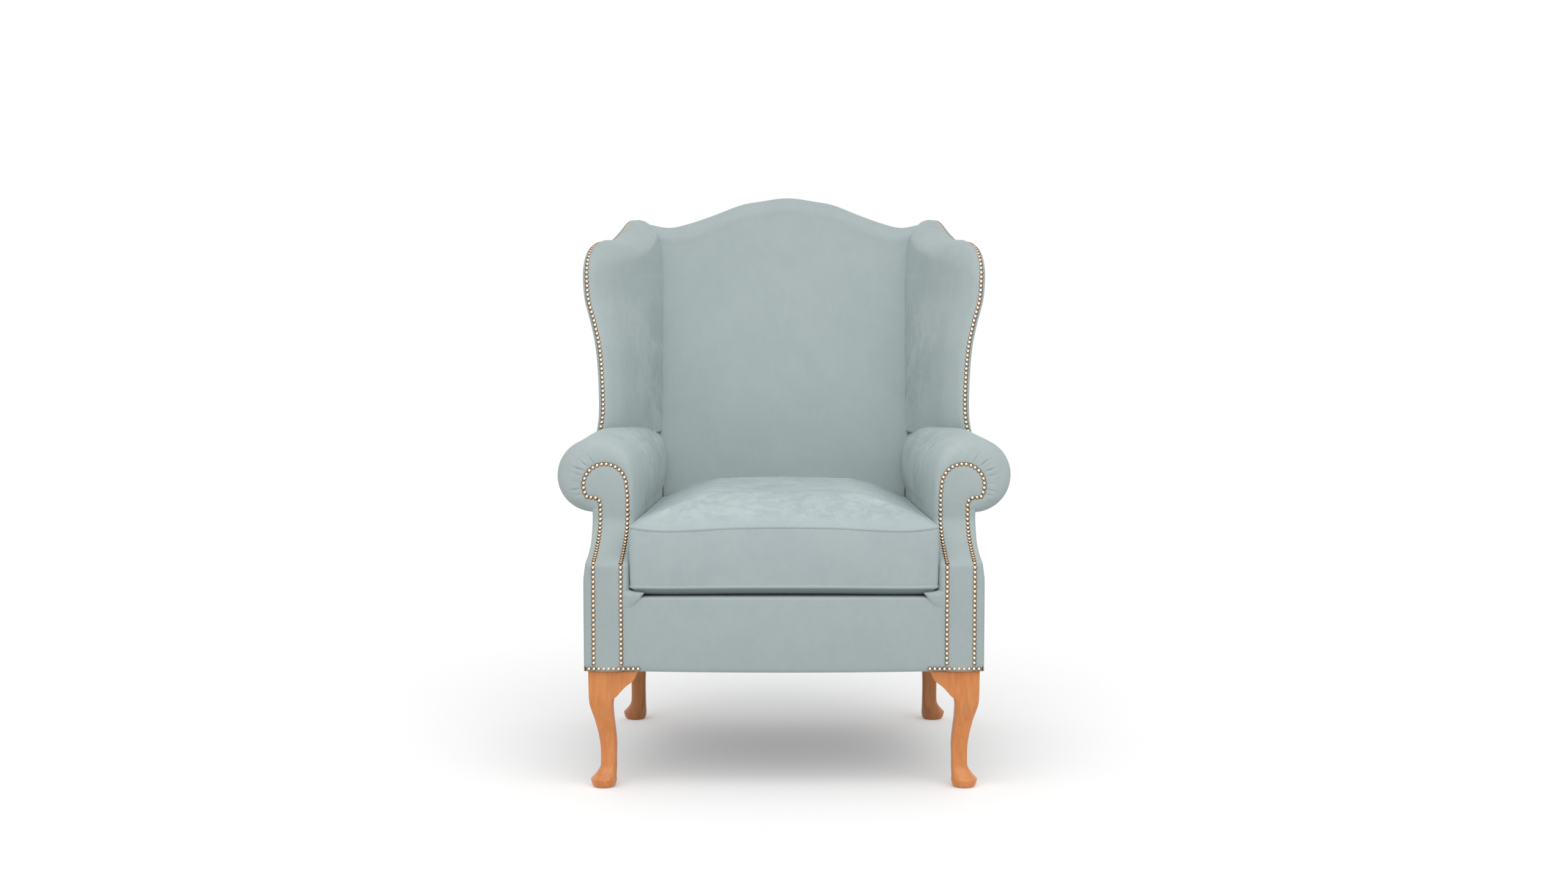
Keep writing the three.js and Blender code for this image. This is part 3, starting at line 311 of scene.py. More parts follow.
def leg_rings(shares, width, toward_back):
    """Rings of a leg from the floor up, measured from its outer corner."""
    rings = []
    for height, outer, inner, roundness in curve_through(shares, 100):
        low, high = outer * width, inner * width
        bend = min(foot_round, (high - low) / 2) * min(roundness, 0.98)
        ring = []
        for corner_x, corner_y, start in ((low, low, 180), (high, low, 270), (high, high, 0), (low, high, 90)):
            centre_x = corner_x + (bend if corner_x == low else -bend)
            centre_y = corner_y + (bend if corner_y == low else -bend)
            for step in range(7):
                turn = math.radians(start + 15 * step)
                ring.append((centre_x + bend * math.cos(turn), centre_y + bend * math.sin(turn)))
        rings.append([(-x, toward_back * y, height * leg_height) for x, y in ring])
    return rings


def add_block(mesh, rings):
    """Adds a closed block of rings to a mesh that is being built."""
    made = [[mesh.verts.new(seated(p)) for p in ring] for ring in rings]
    for lower, upper in zip(made, made[1:]):
        for i in range(len(lower)):
            j = (i + 1) % len(lower)
            mesh.faces.new((lower[i], lower[j], upper[j], upper[i]))
    mesh.faces.new(made[0][::-1])
    mesh.faces.new(made[-1])


def evaluated(piece):
    """Applies the modifiers of a piece and gives its new mesh."""
    made = bpy.data.meshes.new_from_object(piece.evaluated_get(bpy.context.evaluated_depsgraph_get()))
    made.name = piece.name
    piece.modifiers.clear()
    piece.data = made
    return made


def carved(name, blocks, voxel, passes, material):
    """Joins overlapping blocks into one body and eases its edges, as a carver does."""
    mesh = bmesh.new()
    for block in blocks:
        add_block(mesh, block)
    bmesh.ops.recalc_face_normals(mesh, faces=mesh.faces)
    rough = bpy.data.meshes.new(name)
    mesh.to_mesh(rough)
    mesh.free()
    piece = bpy.data.objects.new(name, rough)
    bpy.context.scene.collection.objects.link(piece)
    joined = piece.modifiers.new("joined", "REMESH")
    joined.mode = "VOXEL"
    joined.voxel_size = voxel / 1000
    joined.use_smooth_shade = True
    eased = piece.modifiers.new("eased", "SMOOTH")
    eased.factor = 0.5
    eased.iterations = passes
    made = evaluated(piece)
    made.materials.clear()
    made.materials.append(material)
    made.polygons.foreach_set("use_smooth", [True] * len(made.polygons))
    return piece


def stained_wood(name, dark, light):
    """Close-grained hardwood, stained and lacquered: even colour, faint figure, satin shine."""
    made, tree, shader = material_of(name)
    place = add(tree, "ShaderNodeTexCoord")
    # Figure of the wood: faint bands about 10 mm wide that run up the leg and wander with its carving.
    drawn = add(tree, "ShaderNodeMapping", {"Vector": place.outputs["Object"], "Scale": (100, 100, 13)})
    figure = add(tree, "ShaderNodeTexNoise", {"Vector": drawn.outputs[0], "Scale": 1.0, "Detail": 5.0,
                                              "Distortion": 1.2})
    bands = add(tree, "ShaderNodeValToRGB", {"Fac": figure.outputs["Fac"]})
    bands.color_ramp.elements[0].position = 0.25
    bands.color_ramp.elements[0].color = colour(dark)
    bands.color_ramp.elements[1].position = 0.75
    bands.color_ramp.elements[1].color = colour(light)
    # Pores, 0.5 mm across and 8 mm long.
    strokes = add(tree, "ShaderNodeMapping", {"Vector": place.outputs["Object"], "Scale": (2000, 2000, 120)})
    pores = add(tree, "ShaderNodeTexNoise", {"Vector": strokes.outputs[0], "Scale": 1.0, "Detail": 2.0})
    pore_tone = add(tree, "ShaderNodeMapRange", {"Value": pores.outputs["Fac"], "From Min": 0.35,
                                                "From Max": 0.6, "To Min": 0.92, "To Max": 1.0})
    pored = add(tree, "ShaderNodeMix", {"Factor": 1.0, 6: bands.outputs["Color"], 7: pore_tone.outputs[0]},
                data_type="RGBA", blend_type="MULTIPLY")
    # Stain gathers a little in patches of about 40 mm.
    patches = add(tree, "ShaderNodeTexNoise", {"Vector": place.outputs["Object"], "Scale": 25.0, "Detail": 2.0})
    patch_tone = add(tree, "ShaderNodeMapRange", {"Value": patches.outputs["Fac"], "From Min": 0.3,
                                                 "From Max": 0.7, "To Min": 0.93, "To Max": 1.04})
    stain = add(tree, "ShaderNodeMix", {"Factor": 1.0, 6: pored.outputs[2], 7: patch_tone.outputs[0]},
                data_type="RGBA", blend_type="MULTIPLY")
    relief = add(tree, "ShaderNodeBump", {"Height": pores.outputs["Fac"], "Strength": 0.12, "Distance": 0.0003})
    tree.links.new(stain.outputs[2], shader.inputs["Base Color"])
    tree.links.new(relief.outputs[0], shader.inputs["Normal"])
    shader.inputs["Roughness"].default_value = 0.42
    shader.inputs["Coat Weight"].default_value = 0.35
    shader.inputs["Coat Roughness"].default_value = 0.3
    return made


stained = stained_wood("honey_stained_hardwood", "#CC7630", "#DB8F4E")
# The rear legs get a darker copy of the same stain: painted shade, for the shadow under the chair.
stain_with_painted_shade = stained_wood("darker_stained_hardwood", "#A9622C", "#BF7A40")
ear_points = [(reach * ear_reach, height * leg_height) for reach, height in curve_through(ear_shares, 26)]
ear_line = ear_points + [(ear_reach, leg_height), (knee * 0.4, leg_height), (knee * 0.4, ear_points[0][1] - 6)]
face_heights = [share[0] * leg_height for share in front_leg_shares]
face_depths = [share[1] * knee for share in front_leg_shares]
for side, sign in zip(sides, (-1, 1)):
    leg = leg_rings(front_leg_shares, knee, 1)
    # The face of an ear lies flush with the knee, a hair behind it.
    front_ear = []
    side_ear = []
    for depth in np.linspace(0, 1, 6):
        ring = [(a, max(0.4, np.interp(z, face_heights, face_depths) + 0.6), z) for a, z in ear_line]
        front_ear.append([(-a, face + (ear_depth - face) * depth, z) for a, face, z in ring])
        side_ear.append([(-face - (ear_depth - face) * depth, a, z) for a, face, z in ring])
    blocks = [[[(sign * (front_corner[0] + x), front_corner[1] + y, z) for x, y, z in ring] for ring in block]
              for block in (leg, front_ear, side_ear)]
    front_leg = carved(f"front_leg_{side}", blocks, 1.3, 7, stained)
    belongs(front_leg, "chair", "leg_wood", f"leg_front_{side}")
    block = [[(sign * (rear_corner[0] + x), rear_corner[1] + y, z) for x, y, z in ring]
             for ring in leg_rings(rear_leg_shares, rear_knee, -1)]
    # Painted shade: the rear legs use the darker copy of the stain.
    rear_leg = carved(f"rear_leg_{side}", [block], 1.3, 6, stain_with_painted_shade)
    belongs(rear_leg, "chair", "leg_wood", f"leg_rear_{side}")

# Dust cover. A sheet of thin black lining cloth under the seat, turned in and stapled to the rails and
# cut out round the legs. It sags a little between the rails.
dust_cloth, tree, shader = material_of("black_lining_cloth")
place = add(tree, "ShaderNodeTexCoord")
# Pressed fibres of a non-woven cloth, about 3 mm apart.
fibres = add(tree, "ShaderNodeTexNoise", {"Vector": place.outputs["Object"], "Scale": 330.0, "Detail": 6.0,
                                         "Distortion": 2.0})
woven(tree, shader, fibres.outputs["Fac"], "#16171A", "#33353A", 0.4, 0.3)
shader.inputs["Roughness"].default_value = 0.95
cloth_edge = 14
cloth_front_x = 264.7
cloth_front_y = 95
cloth_rear_x = 272.7
cloth_rear_y = 582.7
cloth_end = 618
cloth_z = 216.6
cloth_sag = 3.5
body_half = 358  # half the width over the outside arms, at the front of the seat
toe = 0.057  # each side draws in by this share of the depth, towards the rear
cloth_half = [body_half - toe * y - cloth_edge for y in (cloth_front_y, cloth_rear_y)]
half_outline = [(cloth_front_x, cloth_edge), (cloth_front_x, cloth_front_y), (cloth_half[0], cloth_front_y),
                (cloth_half[1], cloth_rear_y), (cloth_rear_x, cloth_rear_y), (cloth_rear_x, cloth_end)]
outline = half_outline + [(-x, y) for x, y in half_outline[::-1]]
mesh = bmesh.new()
mesh.faces.new([mesh.verts.new((x, y, cloth_z)) for x, y in outline])
for _ in range(5):
    bmesh.ops.triangulate(mesh, faces=mesh.faces)
    long_edges = [edge for edge in mesh.edges if edge.calc_length() > 25]
    bmesh.ops.subdivide_edges(mesh, edges=long_edges, cuts=1)
bmesh.ops.triangulate(mesh, faces=mesh.faces)
for vertex in mesh.verts:
    x, y, _ = vertex.co
    hang = max(0, 1 - (x / 300) ** 2) * max(0, 1 - ((y - 316) / 300) ** 2)
    vertex.co = seated((x, y, cloth_z - cloth_sag * hang))
bmesh.ops.recalc_face_normals(mesh, faces=mesh.faces)
if sum(face.normal.z for face in mesh.faces) > 0:
    bmesh.ops.reverse_faces(mesh, faces=mesh.faces)
cloth_mesh = bpy.data.meshes.new("dust_cloth_sheet")
mesh.to_mesh(cloth_mesh)
mesh.free()
cloth_mesh.polygons.foreach_set("use_smooth", [True] * len(cloth_mesh.polygons))
cloth_mesh.materials.append(dust_cloth)
cloth = bpy.data.objects.new("dust_cloth_sheet", cloth_mesh)
bpy.context.scene.collection.objects.link(cloth)
thicken(cloth, -0.8)
belongs(cloth, "chair", "dust_cloth", "dust_cover")


# Seat platform. A thin pad over the springs, covered with plain deck cloth in the colour of the chair,
# which the loose cushion lies on.
def velvet(name, light, dark, marks_size):
    """Brushed velvet: a short pile that shows lighter and darker where a hand has turned it.
    The attribute brushed says how much the pile of a place has been turned, and a second attribute
    says where painted shade darkens the cloth."""
    made, tree, shader = material_of(name)
    place = add(tree, "ShaderNodeTexCoord")
    handled = add(tree, "ShaderNodeAttribute", attribute_name="brushed")
    # Broad patches of turned pile, about 100 mm across, with soft ragged edges.
    broad = add(tree, "ShaderNodeTexNoise", {"Vector": place.outputs["Object"], "Scale": 10.0,
                                             "Detail": 5.0, "Roughness": 0.6, "Distortion": 0.5})
    broad_edge = add(tree, "ShaderNodeMapRange", {"Value": broad.outputs["Fac"], "From Min": 0.38,
                                                  "From Max": 0.62}, interpolation_type="SMOOTHSTEP")
    # Small marks, some 20 mm across, where the pile was brushed the other way.
    stretch = add(tree, "ShaderNodeMapping", {"Vector": place.outputs["Object"], "Scale": marks_size})
    marks = add(tree, "ShaderNodeTexNoise", {"Vector": stretch.outputs[0], "Scale": 1.0, "Detail": 5.0,
                                             "Roughness": 0.62, "Distortion": 0.9})
    mark_edge = add(tree, "ShaderNodeMapRange", {"Value": marks.outputs["Fac"], "From Min": 0.36,
                                                 "From Max": 0.64}, interpolation_type="SMOOTHSTEP")
    turned = add(tree, "ShaderNodeMix", {"Factor": 0.5, 2: broad_edge.outputs[0], 3: mark_edge.outputs[0]},
                 data_type="FLOAT")
    centred = add(tree, "ShaderNodeMath", {0: turned.outputs[0], 1: 0.5}, operation="SUBTRACT")
    amount = add(tree, "ShaderNodeMapRange", {"Value": handled.outputs["Fac"], "To Min": 0.16, "To Max": 0.9})
    nap = add(tree, "ShaderNodeMath", {0: centred.outputs[0], 1: amount.outputs[0], 2: 0.5},
              operation="MULTIPLY_ADD")
    tone = add(tree, "ShaderNodeMix", {"Factor": nap.outputs[0], 6: colour(dark), 7: colour(light)},
               data_type="RGBA")
    # Painted shade: where the second attribute is set, the colour is darkened to a shaded tone.
    painted_shade_amount = add(tree, "ShaderNodeAttribute", attribute_name="against_nap")
    tone_with_painted_shade = add(tree, "ShaderNodeMix", {"Factor": painted_shade_amount.outputs["Fac"], 6: tone.outputs[2],
                                       7: colour("#7D898A")}, data_type="RGBA")
    # Tufts of the pile, 0.7 mm apart.
    pile = add(tree, "ShaderNodeTexNoise", {"Vector": place.outputs["Object"], "Scale": 1400.0, "Detail": 2.0})
    grain = add(tree, "ShaderNodeMapRange", {"Value": pile.outputs["Fac"], "From Min": 0.3, "From Max": 0.7,
                                            "To Min": 0.955, "To Max": 1.035})
    piled = add(tree, "ShaderNodeMix", {"Factor": 1.0, 6: tone_with_painted_shade.outputs[2], 7: grain.outputs[0]},
                data_type="RGBA", blend_type="MULTIPLY")
    fine = add(tree, "ShaderNodeBump", {"Height": pile.outputs["Fac"], "Strength": 0.25, "Distance": 0.0004})
    # Turned pile lies a few tenths of a millimetre lower, so the patches catch the light too.
    soft = add(tree, "ShaderNodeBump", {"Height": nap.outputs[0], "Strength": 0.2, "Distance": 0.0012,
                                       "Normal": fine.outputs[0]})
    tree.links.new(piled.outputs[2], shader.inputs["Base Color"])
    tree.links.new(soft.outputs[0], shader.inputs["Normal"])
    shader.inputs["Roughness"].default_value = 0.85
    shader.inputs["Specular IOR Level"].default_value = 0.2
    shader.inputs["Sheen Weight"].default_value = 0.35
    shader.inputs["Sheen Roughness"].default_value = 0.45
    shader.inputs["Sheen Tint"].default_value = colour("#D3DEDF")
    return made


deck_cloth, tree, shader = material_of("plain_deck_cloth")
place = add(tree, "ShaderNodeTexCoord")
# Warp and weft threads, 1.1 mm apart.
warp = add(tree, "ShaderNodeTexWave", {"Vector": place.outputs["Object"], "Scale": 145.0, "Distortion": 0.4},
           bands_direction="X")
weft = add(tree, "ShaderNodeTexWave", {"Vector": place.outputs["Object"], "Scale": 145.0, "Distortion": 0.4},
           bands_direction="Y")
weave = add(tree, "ShaderNodeMath", {0: warp.outputs["Fac"], 1: weft.outputs["Fac"]}, operation="MULTIPLY")
woven(tree, shader, weave.outputs[0], "#8C9A9A", "#A9B6B5", 0.4, 0.4)
shader.inputs["Roughness"].default_value = 0.9


def cover(name, grid, inside, cloth, thickness, fill, *nodes, brushed=None):
    """A padded cover on the chair, as a surface with its thickness, and what it stands for."""
    piece = skin(name, grid, inside, cloth, brushed=brushed)
    thicken(piece, thickness)
    belongs(piece, "chair", "upholstery", *nodes)


def rounded(distance, reach, depth):
    """How far a surface turns away at a distance from its edge, where the edge is rolled."""
    near = np.clip(1 - distance / reach, 0, 1)
    return depth * (1 - np.sqrt(1 - near ** 2))


deck_z = 351.8
deck_half = 303
deck_front = 58.6
deck_rear = 581.5
grid = []
for y in np.linspace(deck_front, deck_rear, 80):
    width = deck_half - toe * y
    row = []
    for x in np.linspace(-width, width, 90):
        drop = rounded(min(width - abs(x), y - deck_front, deck_rear - y), reach=12, depth=8)
        row.append((x, y, deck_z - drop))
    grid.append(row)
cover("deck_pad", grid, (0, 300, 0), deck_cloth, 13, 0.9, "seat_platform")

# Front border. A padded band over the front rail, pulled from under the rail up over its edge roll and
# back to the deck.
cover_velvet = velvet("duck_egg_brushed_velvet", "#AEB9B8", "#95A1A2", (52, 52, 30))
border_half = 291.0
border_foot = 217
border_fullness = 2.2
border_bow = 3.0
roll_turns = np.linspace(0.1, math.pi / 2, 8)
under_fold = [(11, 217.6), (7, 216.8), (3.5, 217.4), (1.6, 219.5), (0.8, 224)]
front_face = [(0.6, z) for z in np.linspace(230, 345, 22)]
edge_roll = [(5.6 - 5 * math.cos(turn), 346.6 + 5 * math.sin(turn)) for turn in roll_turns]
run_back = [(y, 351.6) for y in np.linspace(9, 57.5, 12)]
grid = []
for y, z in under_fold + front_face + edge_roll + run_back:
    row = []
    for x in np.linspace(-border_half, border_half, 121):
        share = 1 - (x / border_half) ** 2
        full = border_fullness * math.sin(math.pi * np.clip((z - border_foot) / 135, 0, 1)) * min(1, 4 * share)
        bow = border_bow * share * max(0, 1 - (z - 216) / 40)
        row.append((x, y - full, z - bow))
    grid.append(row)
cover("front_border_pad", grid, (0, 40, 300), cover_velvet, 9, 0.9, "front_border")

# Arms. Each arm is one piece of velvet drawn over padding: up from the deck, over the arm board as a
# fat roll, down to the neck, and gathered in small pleats round the scroll in front.
scroll_x, scroll_z = 333.7, 543
neck_top, neck_foot = 523.5, 503.8
loop_radius = 40.2
loop_inner, loop_outer = 291.4, 343.0
roll_x, roll_z, roll_radius, roll_rear_radius = 355.8, 559.8, 68.3, 50
roll_top = roll_z + roll_radius
arm_inner = 277.3
arm_deck = 352.6
shoulder_z = 535
sweep_top = 484


def even(points, count):
    """The same line with its points evenly apart."""
    points = np.asarray(points, float)
    steps = np.hypot(*np.diff(points, axis=0).T)
    length = np.concatenate([[0], np.cumsum(steps)])
    where = np.linspace(0, length[-1], count)
    return np.stack([np.interp(where, length, points[:, 0]), np.interp(where, length, points[:, 1])], 1)


def bezier(a, b, c, count):
    """A curve from a to c that leaves and meets them in the direction of b."""
    t = np.linspace(0, 1, count)[:, None]
    return (1 - t) ** 2 * np.array(a) + 2 * t * (1 - t) * np.array(b) + t ** 2 * np.array(c)


def arc(centre, radius, start, end, count):
    """Points of a round stretch, by its angles."""
    turn = np.linspace(start, end, count)[:, None]
    return np.array(centre) + radius * np.hstack([np.cos(turn), np.sin(turn)])


def normals_of(grid, inside):
    """The direction that each point of a surface faces."""
    normal = np.cross(np.gradient(grid, axis=0), np.gradient(grid, axis=1))
    normal /= np.maximum(np.linalg.norm(normal, axis=2, keepdims=True), 1e-9)
    if np.sum(normal * (grid - np.asarray(inside, float))) < 0:
        normal = -normal
    return normal


front_sweep = bezier((0, 412), (93, 445), (100, sweep_top), 40)


def front_y(z):
    """The front of the arm seen from the side: upright, with a sweep forward to the seat."""
    return np.interp(z, front_sweep[:, 1], front_sweep[:, 0])


wall_z = np.linspace(arm_deck, sweep_top, 26)
loop_wall = np.stack([np.full(26, loop_inner), wall_z], 1)
roll_wall = np.stack([np.full(26, arm_inner), wall_z], 1)
inner_arc = arc((scroll_x, scroll_z), loop_radius, math.pi, math.pi / 2, 40)
outer_arc = arc((scroll_x, scroll_z), loop_radius, math.pi / 2, -math.pi / 5, 50)
neck = bezier((366.2, 519.4), (loop_outer, 524.5), (loop_outer, neck_foot), 20)
loop_inside = even(np.vstack([[(loop_inner, sweep_top), (loop_inner, neck_top)], inner_arc]), 61)[1:]
loop_outside = even(np.vstack([outer_arc, neck[1:]]), 241)[1:]
loop = np.vstack([loop_wall, loop_inside, loop_outside])


def roll_line(radius, squareness=0):
    """Section of the arm: the inner face, the shoulder and the roll, down to its neck.
    Under the wing the shoulder is stuffed out square."""
    top = roll_top
    soft = bezier((arm_inner, shoulder_z), (arm_inner, top), (roll_x, top), 50)
    turn = np.linspace(0, math.pi / 2, 50)
    full = np.column_stack([roll_x - (roll_x - arm_inner) * np.cos(turn) ** 0.55,
                            shoulder_z + (top - shoulder_z) * np.sin(turn) ** 0.55])
    soft = even(np.vstack([[(arm_inner, sweep_top)], soft]), 61)[1:]
    full = even(np.vstack([[(arm_inner, sweep_top)], full]), 61)[1:]
    outside = arc((roll_x, top - radius), radius, math.pi / 2, -math.pi / 2, 241)[1:]
    return np.vstack([roll_wall, soft + (full - soft) * squareness, outside])


def arm_rows():
    """Rows of the arm from its front edge back to the closed rear of the roll."""
    front = roll_line(roll_radius)
    reach = np.linalg.norm(front - loop, axis=1)
    depth = np.clip(reach * 1.05, 9, 24)
    start = front_y(front[:, 1]) + 2
    loop_start = front_y(loop[:, 1]) + 1
    rows = [np.column_stack([loop[:, 0], loop_start + 3, loop[:, 1]]),
            np.column_stack([loop[:, 0], loop_start + 0.6, loop[:, 1]])]
    for turn in np.linspace(0.08, math.pi / 2, 22):
        section = loop + (front - loop) * math.sin(turn)
        begin = loop_start + (start - loop_start) * math.sin(turn) - depth * 0.14 * math.sin(2 * turn)
        rows.append(np.column_stack([section[:, 0], begin + depth * (1 - math.cos(turn)), section[:, 1]]))
    dome_end = start + depth
    for share in np.linspace(0, 1, 70)[1:]:
        radius = roll_radius + (roll_rear_radius - roll_radius) * share
        section = roll_line(radius, np.clip((share - 0.35) / 0.22, 0, 1) * 0.9)
        rear = outside_back_y(section[:, 1]) - 17
        y = dome_end + (rear - dome_end) * share
        rows.append(np.column_stack([section[:, 0], y, section[:, 1]]))
    # The rear of the roll turns in and closes over the end of the arm board.
    last = rows[-1]
    centre = np.column_stack([np.where(last[:, 2] < shoulder_z, 300, 345), last[:, 1],
                              np.where(last[:, 2] < shoulder_z, last[:, 2], 575)])
    for turn in np.linspace(0, math.pi / 2, 6)[1:]:
        shrink = 10 * (1 - math.cos(turn)) / np.maximum(np.linalg.norm(last - centre, axis=1, keepdims=True), 1)
        closing = last + (centre - last) * np.minimum(shrink, 0.9)
        closing[:, 1] += 10 * math.sin(turn)
        rows.append(closing)
    rim = rows[-1]
    for share in (0.3, 0.6, 0.85, 0.97):
        flat = rim + (centre - rim) * share
        flat[:, 1] = rim[:, 1]
        rows.append(flat)
    return np.array(rows)


pleat_width = 1.2
pleat_fan = 14  # degrees to either side that a pleat can reach


def arm_cloth(grid, pleats, seed):
    """The arm with its pleats and the pulls of its cloth, and how much each place has been brushed."""
    # Pleats run out from the studs; each has its own turn, depth and length.
    rng = np.random.default_rng(seed)
    x, y, z = grid[..., 0], grid[..., 1], grid[..., 2]
    turn = np.degrees(np.arctan2(z - scroll_z, x - scroll_x))
    out = np.hypot(x - scroll_x, z - scroll_z) - loop_radius
    moved = np.zeros(turn.shape)
    for angle, tilt, pleat_depth, length in pleats:
        away = np.radians(turn - angle + tilt * out / length) * (out + loop_radius)
        fade = np.clip(out / 2.5, 0, 1) * np.clip((length - out) / (0.6 * length), 0, 1) * (y < 150)
        fade *= np.abs(turn - angle) < pleat_fan
        moved -= 2.2 * pleat_depth * np.exp(-(away / pleat_width) ** 2) * fade
        moved += 0.8 * pleat_depth * np.exp(-((np.abs(away) - 4.2) / 2.6) ** 2) * fade
    # Pulls of the cloth in front of the wing and under it: shallow folds that run back as they go
    # down the inner face, some 12 to 24 mm apart.
    down = np.clip(roll_x - x, 0, 78) + 0.7 * np.clip(600 - z, 0, 200)
    slant = 1.1 * np.clip((430 - y) / 120, 0.15, 1)
    along = y - slant * down + 7 * np.sin(down / 19 + rng.uniform(0, 6))
    pulls = (0.45 * np.sin(along / 2.6 + rng.uniform(0, 6)) + 0.75 * np.sin(along / 4.1 + rng.uniform(0, 6))
             + 0.6 * np.sin(along / 7.3 + rng.uniform(0, 6)))
    zone = np.clip((y - 170) / 90, 0, 1) * np.clip((620 - y) / 60, 0, 1) * np.clip((372 - x) / 50, 0, 1)
    patch = 0.5 + 0.5 * np.sin(down / 23 + y / 60 + rng.uniform(0, 6)) * np.sin(y / 37 + rng.uniform(0, 6))
    moved += 0.8 * pulls * zone * patch
    # The whole arm is hand stuffed, so it is a little uneven.
    moved += 0.8 * np.sin(y / 61 + z / 83 + rng.uniform(0, 6)) * np.sin(x / 47 + z / 59 + rng.uniform(0, 6))
    # The inner face swells over the edge of the cushion.
    belly = 9 * np.clip((y - 150) / 200, 0, 1) * np.clip((575 - y) / 40, 0, 1) * (x < roll_x - 40)
    belly *= np.sin(math.pi * np.clip((z - 492) / 110, 0, 1)) ** 0.8
    moved += belly
    moved[:3] = 0
    moved[3:7] *= np.array([0.3, 0.55, 0.8, 0.95])[:, None]
    moved[-9:] = 0
    brushed = 0.12 + 0.88 * zone * np.clip((365 - x) / 40, 0, 1)
    return grid + normals_of(grid, (340, 300, 560)) * moved[..., None], brushed


# The angle of each pleat from the level, how it turns along its length, its depth and its length.
pleats_by_side = {
    "left": [(86, 2, 0.5, 20), (63, 3, 1.1, 27), (48, 4, 1.2, 27), (37, 9, 1.5, 31), (24, 5, 1.0, 24),
             (8, 1, 0.7, 18), (-7, 2, 1.2, 27), (-21, -1, 0.8, 17)],
    "right": [(82, 3, 0.5, 20), (66, 2, 1.0, 25), (50, 5, 1.3, 29), (34, 7, 1.4, 30), (21, 4, 1.1, 25),
              (5, 2, 0.8, 20), (-9, 3, 1.1, 25), (-21, 0, 0.8, 17)],
}


def handed(grid, sign):
    """Turns a right-hand surface in at the back with the side, and mirrors it for the left."""
    grid = np.array(grid, float)
    grid[..., 0] = sign * (grid[..., 0] - toe * grid[..., 1])
    return grid


arm_grid = arm_rows()
for side, sign in zip(sides, (-1, 1)):
    grid, brushed = arm_cloth(arm_grid, pleats_by_side[side], 11 + sign)
    cover(f"arm_{side}", handed(grid, sign), (sign * 330, 300, 560), cover_velvet, 4, 0.85,
          f"arm_pad_{side}", brushed=brushed)

# Arm linings at the seat. Under each front corner of the cushion a tongue of the arm's cloth is drawn
# forward over the end of the border and tacked beside the facing, over a wisp of padding.
tongue_tip = 251.5
tongue_padding = 3.2
tongue_top = curve_through([(289.5, 369), (281, 364), (270, 361.5), (260, 360.5), (tongue_tip, 359.5)], 40)
tongue_low = curve_through([(289.5, 329), (281, 331), (270, 335.5), (260, 346), (tongue_tip, 358.5)], 40)
border_face = np.array(under_fold[-1:] + front_face + edge_roll + run_back[:1])
tongue_grid = []
for (x, high), (_, low) in zip(tongue_top, tongue_low):
    begin = np.interp(low, border_face[:, 1], border_face[:, 0]) + 0.4
    fold = tongue_padding * np.clip((x - tongue_tip) / 6, 0, 1) ** 0.5 * np.clip((290 - x) / 20, 0.05, 1)
    row = [(x, begin, low)]
    for share in np.linspace(0, 1, 22)[1:]:
        lift = math.sin(math.pi * min(share, 0.5)) ** 0.7
        y = begin * (1 - lift) - lift * fold + 7 * max(0, share - 0.72) ** 2 / 0.08
        row.append((x, y, low + (high - low) * share))
    y_end = row[-1][1]
    row += [(x, y_end + 9, high + 0.6), (x, y_end + 26, high + 0.4), (x, 56, high - 2)]
    tongue_grid.append(row)
for side, sign in zip(sides, (-1, 1)):
    cover(f"arm_tongue_{side}", handed(tongue_grid, sign), (sign * 270, 40, 345), cover_velvet, 2.5, 0.9)

# Arm facings. A shaped panel, thinly padded, that closes the front of each arm. Its edge is turned
# under and nailed round with studs.
facing_bottom = 217.4
facing_inner, facing_outer = 292.6, 341.8
facing_radius = 39
facing_neck = 505


def facing_line(offset):
    """Line on the facing at an offset from its stud line, from the inner foot round to the outer foot."""
    strip_inner, strip_outer = facing_inner - offset, facing_outer + offset
    up = np.linspace(facing_bottom, neck_top, 62)
    head = arc((scroll_x, scroll_z), facing_radius + offset, math.pi, -math.pi / 5, 50)
    bend = bezier(head[-1], (strip_outer, 524.5), (strip_outer, facing_neck - offset), 12)
    down = np.linspace(facing_neck - offset, facing_bottom, 58)
    return np.vstack([np.column_stack([np.full(62, strip_inner), up]), head, bend[1:],
                      np.column_stack([np.full(57, strip_outer), down[1:]])])


def distance_to(line, y, z):
    """Shortest distance from each point to a line, both drawn in the same flat view."""
    a, b = line[:-1], line[1:]
    span = b - a
    points = np.stack([y, z], -1)[..., None, :]
    t = np.clip(np.sum((points - a) * span, -1) / np.maximum(np.sum(span ** 2, -1), 1e-9), 0, 1)
    return np.min(np.linalg.norm(points - (a + t[..., None] * span), axis=-1), -1)


edge = facing_line(1.7)
half_count = len(edge) // 2
across = (1 - np.cos(np.linspace(0, math.pi, 25))) / 2
first_side = edge[:half_count]
far_side = edge[:half_count - 1:-1][:half_count]
face = first_side[:, None] + (far_side - first_side)[:, None] * across[:, None]
inward = distance_to(edge, face[..., 0], face[..., 1])
# The cloth dips under the row of studs and fills out between the two rows.
dip_from_edge = [0, 0.9, 2.0, 3.0, 4.8, 7, 11, 16, 25]
dip = [1.3, 0.8, 0.6, 0.4, 0.1, -0.5, -1.0, -1.3, -1.5]
facing_y = front_y(face[..., 1]) + np.interp(inward, dip_from_edge, dip)
facing_grid = np.stack([face[..., 0], facing_y, face[..., 1]], -1)
for side, sign in zip(sides, (-1, 1)):
    cover(f"facing_{side}", handed(facing_grid, sign), (0, 300, 400), cover_velvet, 3.5, 0.9,
          f"arm_facing_{side}")

# Outside arms. A panel of velvet over thin wadding from the seat frame up under the roll, turned round
# onto the front beside the facing.
panel_foot = 217.3
panel_head = 500.5  # at its front, from where it climbs to the back with the roll
panel_climb = 32
panel_fullness = 2.6
